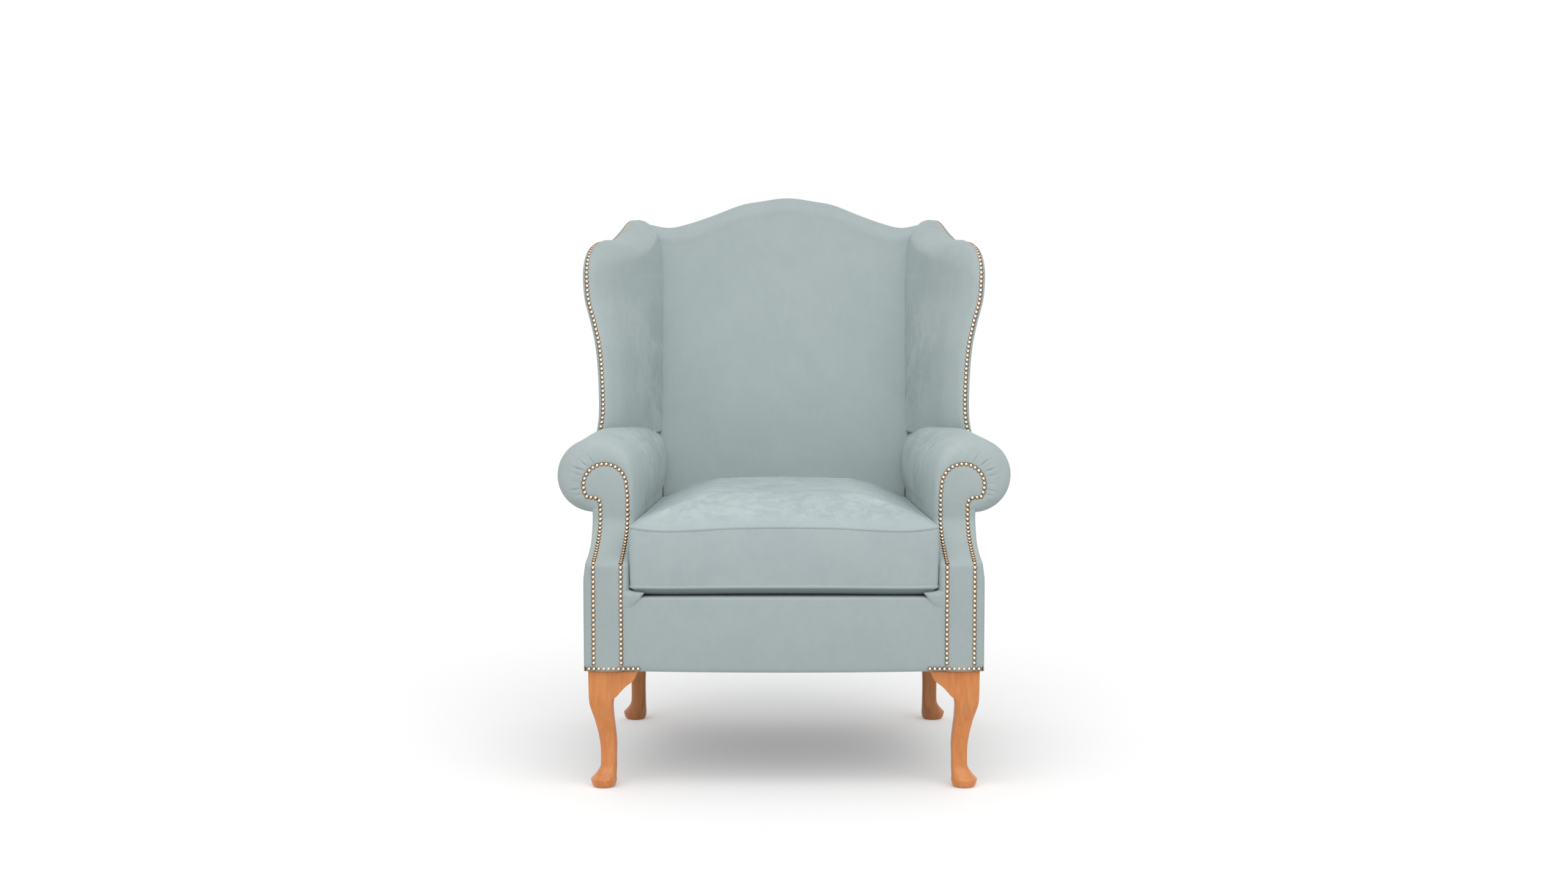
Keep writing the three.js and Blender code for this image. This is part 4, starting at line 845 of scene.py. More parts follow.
# The panel's front edge, turned round onto the front of the arm, seen from above.
turned_front = [(343.2, 3.6), (343.2, 0.9), (346.0, 0.8), (352.0, 1.2), (355.6, 2.9), (357.4, 5.8),
                (358.0, 9.5)]
turned_depth = turned_front[-1][1]
# Beside the facing the panel stands out at the seat and draws in under the roll.
spread = curve_through([(217, 2.8), (370, 2.8), (395, 1.2), (430, -2.6), (465, -1.0), (505, 0)], 60)
for side, sign in zip(sides, (-1, 1)):
    grid = []
    for share in np.linspace(0, 1, 64):
        z_front = panel_foot + (panel_head - panel_foot) * share
        out = np.interp(z_front, *spread.T)
        row = [(x + out * np.clip((x - 347) / 8, 0, 1), front_y(z_front) + y, z_front) for x, y in turned_front]
        for along in np.linspace(0, 1, 64)[1:]:
            z = panel_foot + (panel_head + panel_climb * along ** 1.1 - panel_foot) * share
            y = front_y(z_front) + turned_depth
            y += along * (outside_back_y(z) - 2.5 - front_y(z_front) - turned_depth)
            full = panel_fullness * math.sin(math.pi * share) ** 0.7 * math.sin(math.pi * along) ** 0.7
            turn_in = rounded(min(outside_back_y(z) - y, z - 216), reach=7, depth=3)
            near = np.clip(1 - along / 0.5, 0, 1)
            row.append((body_half + full - turn_in + out * near * near * (3 - 2 * near), y, z))
        grid.append(row)
    cover(f"outside_arm_panel_{side}", handed(grid, sign), (0, 300, 350), cover_velvet, 3.6, 1.0,
          f"outside_arm_{side}")

# Wings. Each wing is padded on its inner face, rolls over its front and top edge, and fills out towards
# the crease where it meets the back.
wing_foot, wing_top = 600, 988
wing_span = wing_top - wing_foot
wing_flare, wing_lean = 33, 42
# Height, flare and lean of the front edge, as shares of the wing's span, of its flare and of its lean.
wing_edge_shares = np.array([
    (-0.11, 0.45, -0.07), (0, 0.33, -0.03), (0.134, 0.03, 0.07), (0.299, 0.05, 0.286), (0.461, 0.206, 0.476),
    (0.577, 0.476, 0.643), (0.647, 0.694, 0.714), (0.716, 0.903, 0.81), (0.812, 1, 0.905), (0.93, 1.02, 0.98),
    (1.15, 1.02, 1.05),
])
edge_fine = curve_through(wing_edge_shares, 160)
edge_z = wing_foot + wing_span * edge_fine[:, 0]
edge_x = body_half + wing_flare * edge_fine[:, 1]
edge_y = 350 + wing_lean * edge_fine[:, 2]
crest_corner = 306
corner_run = body_half - toe * (back_depth + rake * (wing_top - bend_z)) - crest_corner


def wing_front(z):
    """Depth of the wing's front edge at a height."""
    return np.interp(z, edge_z, edge_y)


def corner_x(z):
    """Half the width of the outside back: it runs in towards the corners of the crest."""
    run_in = np.interp((z - wing_foot) / wing_span, [0.9, 1.15], [0, corner_run])
    return body_half - toe * outside_back_y(z) - run_in


def wing_outer_x(y, z):
    """Outer face of the wing: straight from its front edge to the corner of the outside back."""
    front, rear = wing_front(z), outside_back_y(z)
    share = (y - front) / (rear - front)
    first = np.interp(z, edge_z, edge_x)
    return first + share * (corner_x(z) - first)


seat_back_z = 480  # the back rises straight from the deck up to here, and leans from here on


def inside_back_y(z):
    """Depth of the face that the sitter leans on."""
    return 533 + rake * (z - seat_back_z)


def wing_outline(offset, foot):
    """Wing seen from the side, from its foot up the front edge, over the ear and up to the crest."""
    start_z = wing_top - 73
    front = [(wing_front(z) + offset, z) for z in np.linspace(foot, start_z, 60)]
    begin = wing_front(start_z)
    ear = bezier((begin + offset, start_z), (begin + 6 + offset, wing_top - 6 - offset),
                 (begin + 92, wing_top - offset), 30)
    top = curve_through([(begin + 92, wing_top - offset), (545, 988.8 - offset), (590, 996.4 - offset),
                         (630, 1010 - offset), (665, 1025.5 - offset), (690, 1033.5 - offset),
                         (peak_y, peak_z - offset), (758, 1032 - offset)], 66)
    return np.vstack([front, ear[1:], top[1:]])


peak_z = 1036
peak_y = outside_back_y(peak_z) - 45
wing_bottom = 597
roll_edge = wing_outline(0, wing_bottom)
head_start = 996
head_depth, side_rise = 40, 24


def back_face(z):
    """Face of the back pad beside the wing, with its rounded head."""
    up = np.clip((z - head_start) / side_rise, 0, 1)
    return inside_back_y(np.minimum(z, head_start)) + head_depth * (1 - np.sqrt(1 - up ** 2))


# The heel of the pad runs up inside the back pad, which closes over it, and then back over its head.
heel_rise = np.linspace(wing_bottom, head_start, 80)
head_turn = np.linspace(0, math.pi / 2, 24)[1:]
head_middle = inside_back_y(head_start) + head_depth
heel_head = np.column_stack([head_middle - 30 * np.cos(head_turn), head_start + 14 * np.sin(head_turn)])
heel_line = np.vstack([np.column_stack([inside_back_y(heel_rise) + 10, heel_rise]), heel_head,
                       [(695, head_start + 15), (peak_y, head_start + 18), (757, head_start + 16)]])
face_rise = np.concatenate([np.linspace(560, head_start, 60), head_start + side_rise * np.sin(head_turn)])
back_line = np.vstack([np.column_stack([back_face(face_rise), face_rise]), [(790, head_start + side_rise)]])
# The visible edge of the pad against the back, from its foot to the peak.
pad_edge = curve_through([(590, 247), (880, 247), (925, 248.7), (955, 251), (976, 254), (996, 261), (1011, 271),
                          (1021, 279.5), (1028, 286.5), (1036, 293)], 120)


def length_along(line):
    """Length of a line up to each of its points."""
    return np.concatenate([[0], np.cumsum(np.hypot(*np.diff(line, axis=0).T))])


def at_length(line, where):
    """Points of a line at the given lengths along it."""
    length = length_along(line)
    return np.stack([np.interp(where, length, line[:, 0]), np.interp(where, length, line[:, 1])], 1)


# Marks that belong together on the edge and on the heel, from the foot, over the ear and up to the peak.
edge_length = length_along(roll_edge)
edge_marks = [0, edge_length[59], edge_length[88], np.interp(600, roll_edge[88:, 0], edge_length[88:]),
              np.interp(650, roll_edge[88:, 0], edge_length[88:]), edge_length[-1]]
heel_length = length_along(heel_line)
heel_marks = [0, heel_length[54], heel_length[67], heel_length[78], heel_length[91], heel_length[-1]]
where = np.concatenate([np.linspace(0, 14, 12)[:-1], np.linspace(14, edge_length[-1], 190)])
outline = at_length(roll_edge, where)
heel = at_length(heel_line, np.interp(where, edge_marks, heel_marks))
steps = np.concatenate([0.10 * (1 - np.cos(np.linspace(0, math.pi / 2, 16))), np.linspace(0.10, 0.9, 40)[1:],
                        0.9 + 0.1 * np.sin(np.linspace(0, math.pi / 2, 10)[1:])])
patch_y = outline[:, None, 0] + (heel - outline)[:, None, 0] * steps
patch_z = outline[:, None, 1] + (heel - outline)[:, None, 1] * steps
edge_distance = distance_to(wing_outline(0, wing_bottom - 60), patch_y, patch_z)
foot_distance = np.maximum(patch_z - wing_bottom, 0)
cover_gap = 4.6  # from the outer face of the wing's cover to the pad
nose_width = 22
outer = wing_outer_x(patch_y, patch_z) - cover_gap
front = wing_front(patch_z)
nose_x = wing_outer_x(front, patch_z) - cover_gap - nose_width
share = np.clip((patch_y - front) / (inside_back_y(patch_z) - front), 0, 1)
inner = nose_x + share * (np.interp(patch_z, *pad_edge.T) - nose_x) - 11 * np.sin(math.pi * share)
# Close to the back the pad rolls away from it.
to_back = distance_to(back_line, patch_y, patch_z)
to_back *= np.where((patch_y > back_face(patch_z)) & (patch_z < head_start + side_rise), -1, 1)
inner += 13 * (1 - np.sqrt(1 - np.clip((9 - to_back) / 19, 0, 1) ** 2)) - 1.6
thick = np.maximum(outer - inner, 3)
roll_width = np.interp(patch_y, [500, 600, 640, 700], [40, 16, 9, 7])
edge_near = np.clip(1 - edge_distance / roll_width, 0, 1)
foot_near = np.clip(1 - foot_distance / 12, 0, 1)
foot_full = np.sqrt(np.clip(1 - foot_near ** 2, 0, 1))
fullness = np.sqrt(np.clip(1 - edge_near ** 2, 0, 1)) * foot_full
wing_grid = np.stack([outer - thick * fullness, patch_y, patch_z], -1)
# Inside its edge the pad stands proud of the row of studs, most over the ear.
tangent = np.gradient(outline, axis=0)
tangent /= np.linalg.norm(tangent, axis=1, keepdims=True)
proud = np.interp(tangent[:, 0], [0, 0.9], [3, 6.5])
proud *= np.interp(outline[:, 0], [600, 645, 670, 690, 718], [1, 1.3, 1, 0.45, 0.2])
inward = np.clip((outer - wing_grid[..., 0]) / 15, 0, 1)
crown = proud[:, None] * (3 - 2 * inward) * inward ** 2 * np.clip((75 - edge_distance) / 65, 0, 1)
crown *= np.clip(foot_distance / 40, 0, 1) * np.clip((to_back + 10) / 6, 0, 1)
wing_grid[..., 1] -= crown * tangent[:, None, 1]
wing_grid[..., 2] += crown * tangent[:, None, 0]
for side, sign in zip(sides, (-1, 1)):
    rng = np.random.default_rng(31 + sign)
    x, y, z = wing_grid[..., 0], wing_grid[..., 1], wing_grid[..., 2]
    inside_share = np.clip((y - 420) / 110, 0, 1)
    low = np.exp(-((z - 650) / 70) ** 2) * inside_share
    streaks = 0.4 * np.sin(y / 3.1 + z / 60 + rng.uniform(0, 6))
    streaks += 0.6 * np.sin(y / 5.3 - z / 45 + rng.uniform(0, 6))
    ear_pull = np.exp(-((z - 985) / 26) ** 2) * np.clip((y - 430) / 80, 0, 1)
    pulls = 0.5 * np.sin((z - 0.5 * y) / 2.8 + rng.uniform(0, 6)) + 0.5 * np.sin((z - 0.7 * y) / 4.9)
    moved = 0.6 * streaks * low + 0.45 * pulls * ear_pull
    moved += 0.8 * np.sin(z / 77 + y / 90 + rng.uniform(0, 6)) * np.sin(y / 51 + rng.uniform(0, 6))
    moved[:, :15] *= np.linspace(0, 1, 15)
    moved[:, -9:] *= np.linspace(1, 0, 9)
    moved[-8:] *= np.linspace(1, 0, 8)[:, None]
    brushed = 0.1 + 0.9 * inside_share * np.clip((900 - z) / 120, 0, 1) * np.clip((z - 560) / 50, 0.4, 1)
    grid = wing_grid + normals_of(wing_grid, (360, 500, 800)) * moved[..., None]
    grid[..., 0] *= sign
    cover(f"wing_{side}", grid, (sign * 360, 500, 800), cover_velvet, 7, 0.85, f"wing_pad_{side}",
          brushed=brushed)

# Outside wings. A panel of velvet over thin wadding, closed along the front edge beside the studs.
outline = even(wing_outline(2, 560), 130)
outline[:, 1] += np.interp(outline[:, 0], [540, 600, 700, 750], [0, 3.5, 2.5, 0])
rear_z = np.linspace(560, 1032, 130)
rear = np.stack([outside_back_y(rear_z) - 1.2, rear_z], 1)
steps = np.concatenate([0.02 * (1 - np.cos(np.linspace(0, math.pi / 2, 6))), np.linspace(0.02, 1, 44)[1:]])
patch_y = outline[:, None, 0] + (rear - outline)[:, None, 0] * steps
patch_z = outline[:, None, 1] + (rear - outline)[:, None, 1] * steps
edge_distance = distance_to(outline, patch_y, patch_z)
rear_distance = np.maximum(outside_back_y(patch_z) - patch_y, 0)
turn_in = rounded(edge_distance, reach=4.5, depth=3.6) + rounded(rear_distance, reach=7, depth=3)
fuller = 2.2 * np.clip((750 - patch_y) / 200, 0, 1) * np.clip((patch_z - 600) / 60, 0, 1)
panel_grid = np.stack([wing_outer_x(patch_y, patch_z) + fuller - turn_in, patch_y, patch_z], -1)
first = panel_grid[:, :1].copy()
first[..., 0] = wing_outer_x(first[..., 1], first[..., 2]) - 4.4
first[..., 1] += 0.4
panel_grid = np.concatenate([first, panel_grid], 1)
for side, sign in zip(sides, (-1, 1)):
    cover(f"outside_wing_panel_{side}", panel_grid * np.array([sign, 1, 1]), (0, 550, 800), cover_velvet,
          3.4, 1.0, f"outside_wing_{side}")

# Inside back. One smooth padded panel over the webbing, from the deck up and over the camel-back crest
# rail, drawn into the creases beside the wings.
crest_top, crest_drop = 1081, 60
peak_shift = 7
# Height of the crest, as a share of its drop, by the distance from its middle as a share of its half.
crest_shares = np.array([(0, 1), (0.19, 0.878), (0.318, 0.75), (0.488, 0.415), (0.658, 0.115), (0.79, -0.02),
                         (0.935, 0.125), (1, 0.2)])
crest_line = curve_through(np.vstack([crest_shares[1:2] * (-1, 1), crest_shares]), 90)
crest_line = crest_line[crest_line[:, 0] >= -0.02]


def crease_x(z):
    """Half the width of the back between the wings."""
    return np.interp(z, *pad_edge.T)


def crest_z(x):
    """Top of the back. Its peak stands a little to the right, as the chair was stuffed by hand."""
    x = x - peak_shift * (1 - (x / crest_corner) ** 2)
    return crest_top - crest_drop * (1 - np.interp(np.abs(x) / crest_corner, *crest_line.T))


# Swell of the back, fullest at the small of the sitter's back, by the height as a share of the back.
swell_line = curve_through([(0, 0), (0.176, 0), (0.3, 0.6), (0.45, 1), (0.65, 0.7), (0.85, 0.35), (0.93, 0.25),
                            (1.1, 0.2)], 80)
head_round = 34
columns = np.sin(np.linspace(-math.pi / 2, math.pi / 2, 131)) * 0.35 + np.linspace(-1, 1, 131) * 0.65
grid = []
for q in columns:
    top_x = q * 285
    for _ in range(4):
        top = crest_z(top_x)
        top_x = q * (crease_x(top) + 4)
    head_z = top - head_round
    levels = np.linspace(352.6, head_z, 92)
    line = []
    for z in levels:
        # Beside the arms and wings the pad runs on a little way behind their rounded edges.
        half = crease_x(z) - 0.4 + 8.4 * np.clip((z - 490) / 60, 0, 1)
        x = q * half
        swell = 14 * np.interp((z - 352) / 729, swell_line[:, 0], swell_line[:, 1]) * max(0, 1 - (x / 306) ** 2)
        line.append((x, inside_back_y(max(z, seat_back_z)) - swell, z, half))
    y_head = line[-1][1]
    for turn in np.linspace(0, math.pi / 2, 13)[1:]:
        z = head_z + head_round * math.sin(turn)
        half = crease_x(z) + 8 - 4 * math.sin(turn)
        drop = rounded(half * (1 - abs(q)), reach=15, depth=10) * math.sin(turn)
        line.append((q * half, y_head + head_depth * (1 - math.cos(turn)), z - drop, half))
    y_top = line[-1][1]
    y_rear = outside_back_y(top) - 5
    for share in np.linspace(0, 1, 12)[1:]:
        half = crease_x(top) + 4 + (crest_corner - 5 - crease_x(top)) * share
        z = top - drop * (1 - share) + share * (crest_z(q * crest_corner) - top) - 3.5 * share ** 2
        line.append((q * half, y_top + share * (y_rear - 9 - y_top), z, half))
    for turn in np.linspace(0, math.pi / 2, 6)[1:]:
        line.append((q * half, y_rear - 9 + 9 * math.sin(turn), z - 9 * (1 - math.cos(turn)), half))
    column = []
    for x, y, z, half in line:
        column.append((x, y + rounded(half - abs(x), reach=2.5, depth=3), z))
    grid.append(column)
back_grid = np.array(grid)
x, y, z = back_grid[..., 0], back_grid[..., 1], back_grid[..., 2]
uneven = 0.8 * np.sin(x / 71 + 0.5) * np.sin(z / 93) + 0.5 * np.sin(x / 37 + z / 49)
back_grid[..., 1] += uneven * np.clip((1000 - z) / 60, 0, 1)
cover("inside_back_pad", back_grid, (0, 700, 700), cover_velvet, 11, 0.85, "inside_back")

# Outside back. One stretched panel of velvet from the seat frame to the crest, closed by hand along
# both sides and under the head.
grid = []
for share in np.linspace(0, 1, 100):
    row = []
    for q in columns:
        z_top = crest_z(q * crest_corner) - 5
        z = panel_foot + (z_top - panel_foot) * share
        half = corner_x(z) - 0.4
        x = q * half
        edge = min(half - abs(x), z_top - z, z - 214)
        full = 1.25 * (1 - q ** 2) * math.sin(math.pi * share)
        row.append((x, outside_back_y(z) - rounded(edge, reach=7, depth=3.2) + full, z))
    grid.append(row)
cover("outside_back_panel", grid, (0, 300, 600), cover_velvet, 3.6, 1.0, "outside_back")

# Studs. Domed upholstery nails of aged brass, 8 mm across, hammered in head to head round the facings,
# up the front edge of the wings and along the foot of the seat.
brass, tree, shader = material_of("aged_brass")
# Painted highlight and shade: the crown attribute makes the top of each dome bright and its rim and underside
# dark.
crown = add(tree, "ShaderNodeAttribute", attribute_name="crown")
place = add(tree, "ShaderNodeTexCoord")
# Tarnish in spots of about 1 mm.
tarnish = add(tree, "ShaderNodeTexNoise", {"Vector": place.outputs["Object"], "Scale": 900.0, "Detail": 2.0})
spots = add(tree, "ShaderNodeMapRange", {"Value": tarnish.outputs["Fac"], "To Min": -0.12, "To Max": 0.12})
painted_light_and_tarnish = add(tree, "ShaderNodeMath", {0: crown.outputs["Fac"], 1: spots.outputs[0]}, operation="ADD")
tone = add(tree, "ShaderNodeValToRGB", {"Fac": painted_light_and_tarnish.outputs[0]})
tone.color_ramp.elements[0].position = 0.10
tone.color_ramp.elements[0].color = colour("#4C4029")
tone.color_ramp.elements[1].position = 0.80
tone.color_ramp.elements[1].color = colour("#F2DCC6")
middle_tone = tone.color_ramp.elements.new(0.48)
middle_tone.color = colour("#A88460")
gloss = add(tree, "ShaderNodeMapRange", {"Value": painted_light_and_tarnish.outputs[0], "From Min": 0.2, "From Max": 0.9,
                                        "To Min": 0.45, "To Max": 0.25})
tree.links.new(tone.outputs["Color"], shader.inputs["Base Color"])
tree.links.new(gloss.outputs[0], shader.inputs["Roughness"])
shader.inputs["Metallic"].default_value = 1.0

head_height = 2.7
head_sides = 16
# Radius and height of each ring of a head, and how bright its painted highlight and shade make it.
head_profile = [(4.0, -0.2, 0.0), (3.95, 0.35, 0.08), (3.6, 1.05, 0.33), (2.9, 1.75, 0.70), (1.6, 2.45, 0.98)]
mesh = bmesh.new()
painted_light_layer = mesh.verts.layers.float.new("crown")
made = []
for radius, height, share in head_profile:
    ring = []
    for step in range(head_sides):
        turn = 2 * math.pi * step / head_sides
        x, y = radius * math.cos(turn), radius * math.sin(turn)
        vertex = mesh.verts.new((x / 1000, y / 1000, height / 1000))
        # Painted highlight on the upper side of a nail, and painted shade on its underside and rim.
        vertex[painted_light_layer] = share * (1 - 0.11 * math.hypot(x + 0.5, y - 1.2))
        ring.append(vertex)
    made.append(ring)
apex = mesh.verts.new((0, 0, head_height / 1000))
apex[painted_light_layer] = 0.85
around = [(i, (i + 1) % head_sides) for i in range(head_sides)]
for lower, upper in zip(made, made[1:]):
    for i, j in around:
        mesh.faces.new((lower[i], lower[j], upper[j], upper[i]))
for i, j in around:
    mesh.faces.new((made[-1][i], made[-1][j], apex))
mesh.faces.new(made[0][::-1])
nail_mesh = bpy.data.meshes.new("stud_head")
mesh.to_mesh(nail_mesh)
mesh.free()
nail_mesh.polygons.foreach_set("use_smooth", [True] * len(nail_mesh.polygons))
nail = bpy.data.objects.new("stud_head", nail_mesh)

studding = bpy.data.node_groups.new("studs_along_a_line", "GeometryNodeTree")
studding.interface.new_socket("Geometry", in_out="INPUT", socket_type="NodeSocketGeometry")
for name, kind in (("Pitch", "NodeSocketFloat"), ("Stud", "NodeSocketObject"), ("Finish", "NodeSocketMaterial"),
                   ("Tilt", "NodeSocketFloat"), ("Seed", "NodeSocketInt")):
    studding.interface.new_socket(name, in_out="INPUT", socket_type=kind)
studding.interface.new_socket("Geometry", in_out="OUTPUT", socket_type="NodeSocketGeometry")
given = add(studding, "NodeGroupInput")
line = add(studding, "GeometryNodeMeshToCurve", {"Mesh": given.outputs["Geometry"]})
spaced = add(studding, "GeometryNodeResampleCurve",
             {"Curve": line.outputs[0], "Length": given.outputs["Pitch"]}, mode="LENGTH")
outward = add(studding, "GeometryNodeInputNamedAttribute", {"Name": "outward"}, data_type="FLOAT_VECTOR")
upright = add(studding, "FunctionNodeAlignRotationToVector", {"Vector": outward.outputs["Attribute"]}, axis="Z")
least = add(studding, "ShaderNodeMath", {0: given.outputs["Tilt"], 1: -1.0}, operation="MULTIPLY")
low = add(studding, "ShaderNodeCombineXYZ", {"X": least.outputs[0], "Y": least.outputs[0], "Z": -0.3})
high = add(studding, "ShaderNodeCombineXYZ", {"X": given.outputs["Tilt"], "Y": given.outputs["Tilt"], "Z": 0.3})
wobble = add(studding, "FunctionNodeRandomValue", {"Min": low.outputs[0], "Max": high.outputs[0],
                                                  "Seed": given.outputs["Seed"]}, data_type="FLOAT_VECTOR")
turned = add(studding, "FunctionNodeEulerToRotation", {"Euler": wobble.outputs["Value"]})
both_turns = add(studding, "FunctionNodeRotateRotation",
                 {"Rotation": upright.outputs[0], "Rotate By": turned.outputs[0]}, rotation_space="LOCAL")
stud_in = add(studding, "GeometryNodeObjectInfo", {"Object": given.outputs["Stud"]})
placed = add(studding, "GeometryNodeInstanceOnPoints", {"Points": spaced.outputs[0],
                                                       "Instance": stud_in.outputs["Geometry"],
                                                       "Rotation": both_turns.outputs[0]})
real = add(studding, "GeometryNodeRealizeInstances", {"Geometry": placed.outputs[0]})
finished = add(studding, "GeometryNodeSetMaterial", {"Geometry": real.outputs[0],
                                                    "Material": given.outputs["Finish"]})
add(studding, "NodeGroupOutput", {"Geometry": finished.outputs[0]})
stud_sockets = {item.name: item.identifier for item in studding.interface.items_tree if item.in_out == "INPUT"}


def studs(name, lines, pitch, seed, *nodes):
    """One close row of studs along each line of points, each point with the way that it faces."""
    points = np.vstack([line[0] for line in lines])
    facing = np.vstack([line[1] for line in lines])
    starts = np.cumsum([0] + [len(line[0]) for line in lines])
    edges = [(i, i + 1) for a, b in zip(starts, starts[1:]) for i in range(a, b - 1)]
    mesh = bpy.data.meshes.new(name)
    mesh.from_pydata(seated(points).tolist(), edges, [])
    mesh.attributes.new("outward", "FLOAT_VECTOR", "POINT").data.foreach_set("vector", facing.ravel())
    piece = bpy.data.objects.new(name, mesh)
    bpy.context.scene.collection.objects.link(piece)
    row = piece.modifiers.new("studs", "NODES")
    row.node_group = studding
    row[stud_sockets["Pitch"]] = pitch / 1000
    row[stud_sockets["Stud"]] = nail
    row[stud_sockets["Finish"]] = brass
    row[stud_sockets["Tilt"]] = 0.07
    row[stud_sockets["Seed"]] = seed
    evaluated(piece)
    belongs(piece, "chair", "studs", *nodes)


stud_pitch = 8.6
facing_stud_line = facing_line(0)
facing_stud_line = facing_stud_line[facing_stud_line[:, 1] > 230.4]
levels = np.linspace(200, 620, 421)
lean = np.interp(facing_stud_line[:, 1], levels, np.gradient(front_y(levels), 1.0))
facing_out = np.column_stack([np.zeros(len(lean)), -np.ones(len(lean)), lean])
facing_out /= np.linalg.norm(facing_out, axis=1, keepdims=True)
facing_points = np.column_stack([facing_stud_line[:, 0], front_y(facing_stud_line[:, 1]) + 0.7,
                                 facing_stud_line[:, 1]])
side_line = wing_outline(0, 560)
side_line = side_line[(side_line[:, 1] > 612) & (side_line[:, 0] < 690)]
side_line = even(side_line, 200)
tangent = np.gradient(side_line, axis=0)
wing_out = np.column_stack([np.zeros(200), -tangent[:, 1], tangent[:, 0]])
wing_out /= np.linalg.norm(wing_out, axis=1, keepdims=True)
wing_points = np.column_stack([wing_outer_x(side_line[:, 0], side_line[:, 1]) - 6.9, side_line])
wing_points -= wing_out * np.interp(side_line[:, 0], [540, 600], [0.4, 1.4])[:, None]
foot_corner = arc((353, 5), 5.2, -math.pi / 2, 0, 10)
foot_line = even(np.vstack([[(262, -0.2), (352, -0.2)], foot_corner, [(358.2, 12), (358.2, 100)]]), 80)
foot_tangent = np.gradient(foot_line, axis=0)
foot_out = np.column_stack([foot_tangent[:, 1], -foot_tangent[:, 0], np.zeros(80)])
foot_out /= np.linalg.norm(foot_out, axis=1, keepdims=True)
foot_points = np.column_stack([foot_line, np.full(80, 222)])
for side, sign in zip(sides, (-1, 1)):
    turn_over = np.array([sign, 1, 1])
    studs(f"facing_studs_{side}", [(handed(facing_points, sign), facing_out * turn_over)], stud_pitch, 3,
          f"arm_studs_{side}")
    studs(f"wing_edge_studs_{side}", [(wing_points * turn_over, wing_out * turn_over)], stud_pitch, 5,
          f"wing_studs_{side}")
    studs(f"seat_foot_studs_{side}", [(handed(foot_points, sign), foot_out * turn_over)], stud_pitch, 7,
          f"foot_studs_{side}")

# Seat cushion. A loose boxed cushion of foam in a down wrap: a crowned panel above and below, a band
# round the side, and piping in both seams. It lies on the deck and lifts out.
cushion_velvet = velvet("cushion_brushed_velvet", "#AFBABA", "#99A5A7", (48, 48, 48))
cushion_half = 276.6
cushion_length = 532.0
cushion_corner = 10
piping_low, piping_high = 370.6, 478.5
boxing = piping_high - piping_low
crown_below = 17.5
cushion_bed = 352.5  # height of the deck under the cushion
low_seam_share = 0.15  # the lower seam dips this much of what the upper one does


def cushion_plan(shrink, count):
    """Outline of the cushion seen from above, counter-clockwise from the middle of its back."""
    half_width = cushion_half - shrink
    near, far = shrink, cushion_length - shrink
    bend = cushion_corner
    line = [np.array([(0, far), (half_width - bend, far)]),
            bezier((half_width - bend, far), (half_width, far), (half_width, far - bend), 12),
            bezier((half_width, far - bend), (half_width - 5, (near + far) / 2), (half_width, near + bend), 40),
            bezier((half_width, near + bend), (half_width, near), (half_width - bend, near), 12),
            bezier((half_width - bend, near), (0, near + 4), (bend - half_width, near), 40),
            bezier((bend - half_width, near), (-half_width, near), (-half_width, near + bend), 12),
            bezier((-half_width, near + bend), (5 - half_width, (near + far) / 2), (-half_width, far - bend), 40),
            bezier((-half_width, far - bend), (-half_width, far), (bend - half_width, far), 12),
            np.array([(bend - half_width, far), (0, far)])]
    points = even(np.vstack(line), count + 1)[:-1]
    points[:, 0] *= 1 - toe * points[:, 1] / cushion_half
    return points


# Height of a seam at a distance from the corner, against its middle.
seam_line = curve_through([(0, -0.8), (16, -2.6), (40, -5.6), (72, -6.7), (125, -4.5), (188, -1.3), (280, 0)], 60)


def seam_bow(x, y):
    """The seams dip beside the corners, as the stuffing draws them, and the rear corners sink in."""
    wave = np.interp(np.maximum(0, 274 - np.abs(x)), *seam_line.T)
    sink = -6 * np.clip((y - 120) / 400, 0, 1) * np.clip(np.abs(x) / 200, 0, 1)
    return wave * np.exp(-np.maximum(y - 30, 0) / 150) + sink


def flare(x, y):
    """In front of the arms the cushion spreads a little over their edge."""
    near = np.clip(1 - y / 13, 0, 1) ** 0.8
    return np.sign(x) * 4.6 * near * np.clip((np.abs(x) - 215) / 60, 0, 1)


# Height of the top above its seam, by the distance in from the side: a firm shoulder, then almost flat.
top_line = curve_through([(0, 0), (14, 8), (37, 21), (64, 36.5), (78, 41.5), (100, 43.5), (130, 43), (200, 38.5),
                          (280, 35.5)], 120)


def mended(piece, mend):
    """Runs one mend on the mesh of a piece, and turns its faces outwards."""
    mesh = bmesh.new()
    mesh.from_mesh(piece.data)
    mend(mesh)
    bmesh.ops.recalc_face_normals(mesh, faces=mesh.faces)
    mesh.to_mesh(piece.data)
    mesh.free()


rim = cushion_plan(1.0, 300)
closed_rim = np.vstack([rim, rim[:1]])
middle = np.array([(0.0, cushion_length / 2)])
rings = []
for share in np.concatenate([np.linspace(0.03, 0.94, 22), np.linspace(0.94, 1, 9)[1:]]):
    ring = middle + (rim - middle) * share
    inward = distance_to(closed_rim, ring[:, 0], ring[:, 1])
    rings.append(np.column_stack([ring, piping_low - crown_below * (1 - np.exp(-inward / 8.5))]))
for share in np.linspace(0, 1, 16)[1:-1]:
    out = 1.2 * math.sin(math.pi * share)
    ring = rim + out * (rim - middle) / np.linalg.norm(rim - middle, axis=1, keepdims=True)
    rings.append(np.column_stack([ring, np.full(len(ring), piping_low + boxing * share)]))
for share in np.concatenate([np.linspace(1, 0.94, 9), np.linspace(0.94, 0.03, 30)[1:]]):
    ring = middle + (rim - middle) * share
    inward = distance_to(closed_rim, ring[:, 0], ring[:, 1])
    rings.append(np.column_stack([ring, piping_high + np.interp(inward, *top_line.T)]))
grid = np.array(rings)
upper = np.clip((grid[..., 2] - piping_low) / boxing, low_seam_share, 1)
grid[..., 2] += seam_bow(grid[..., 0], grid[..., 1]) * upper
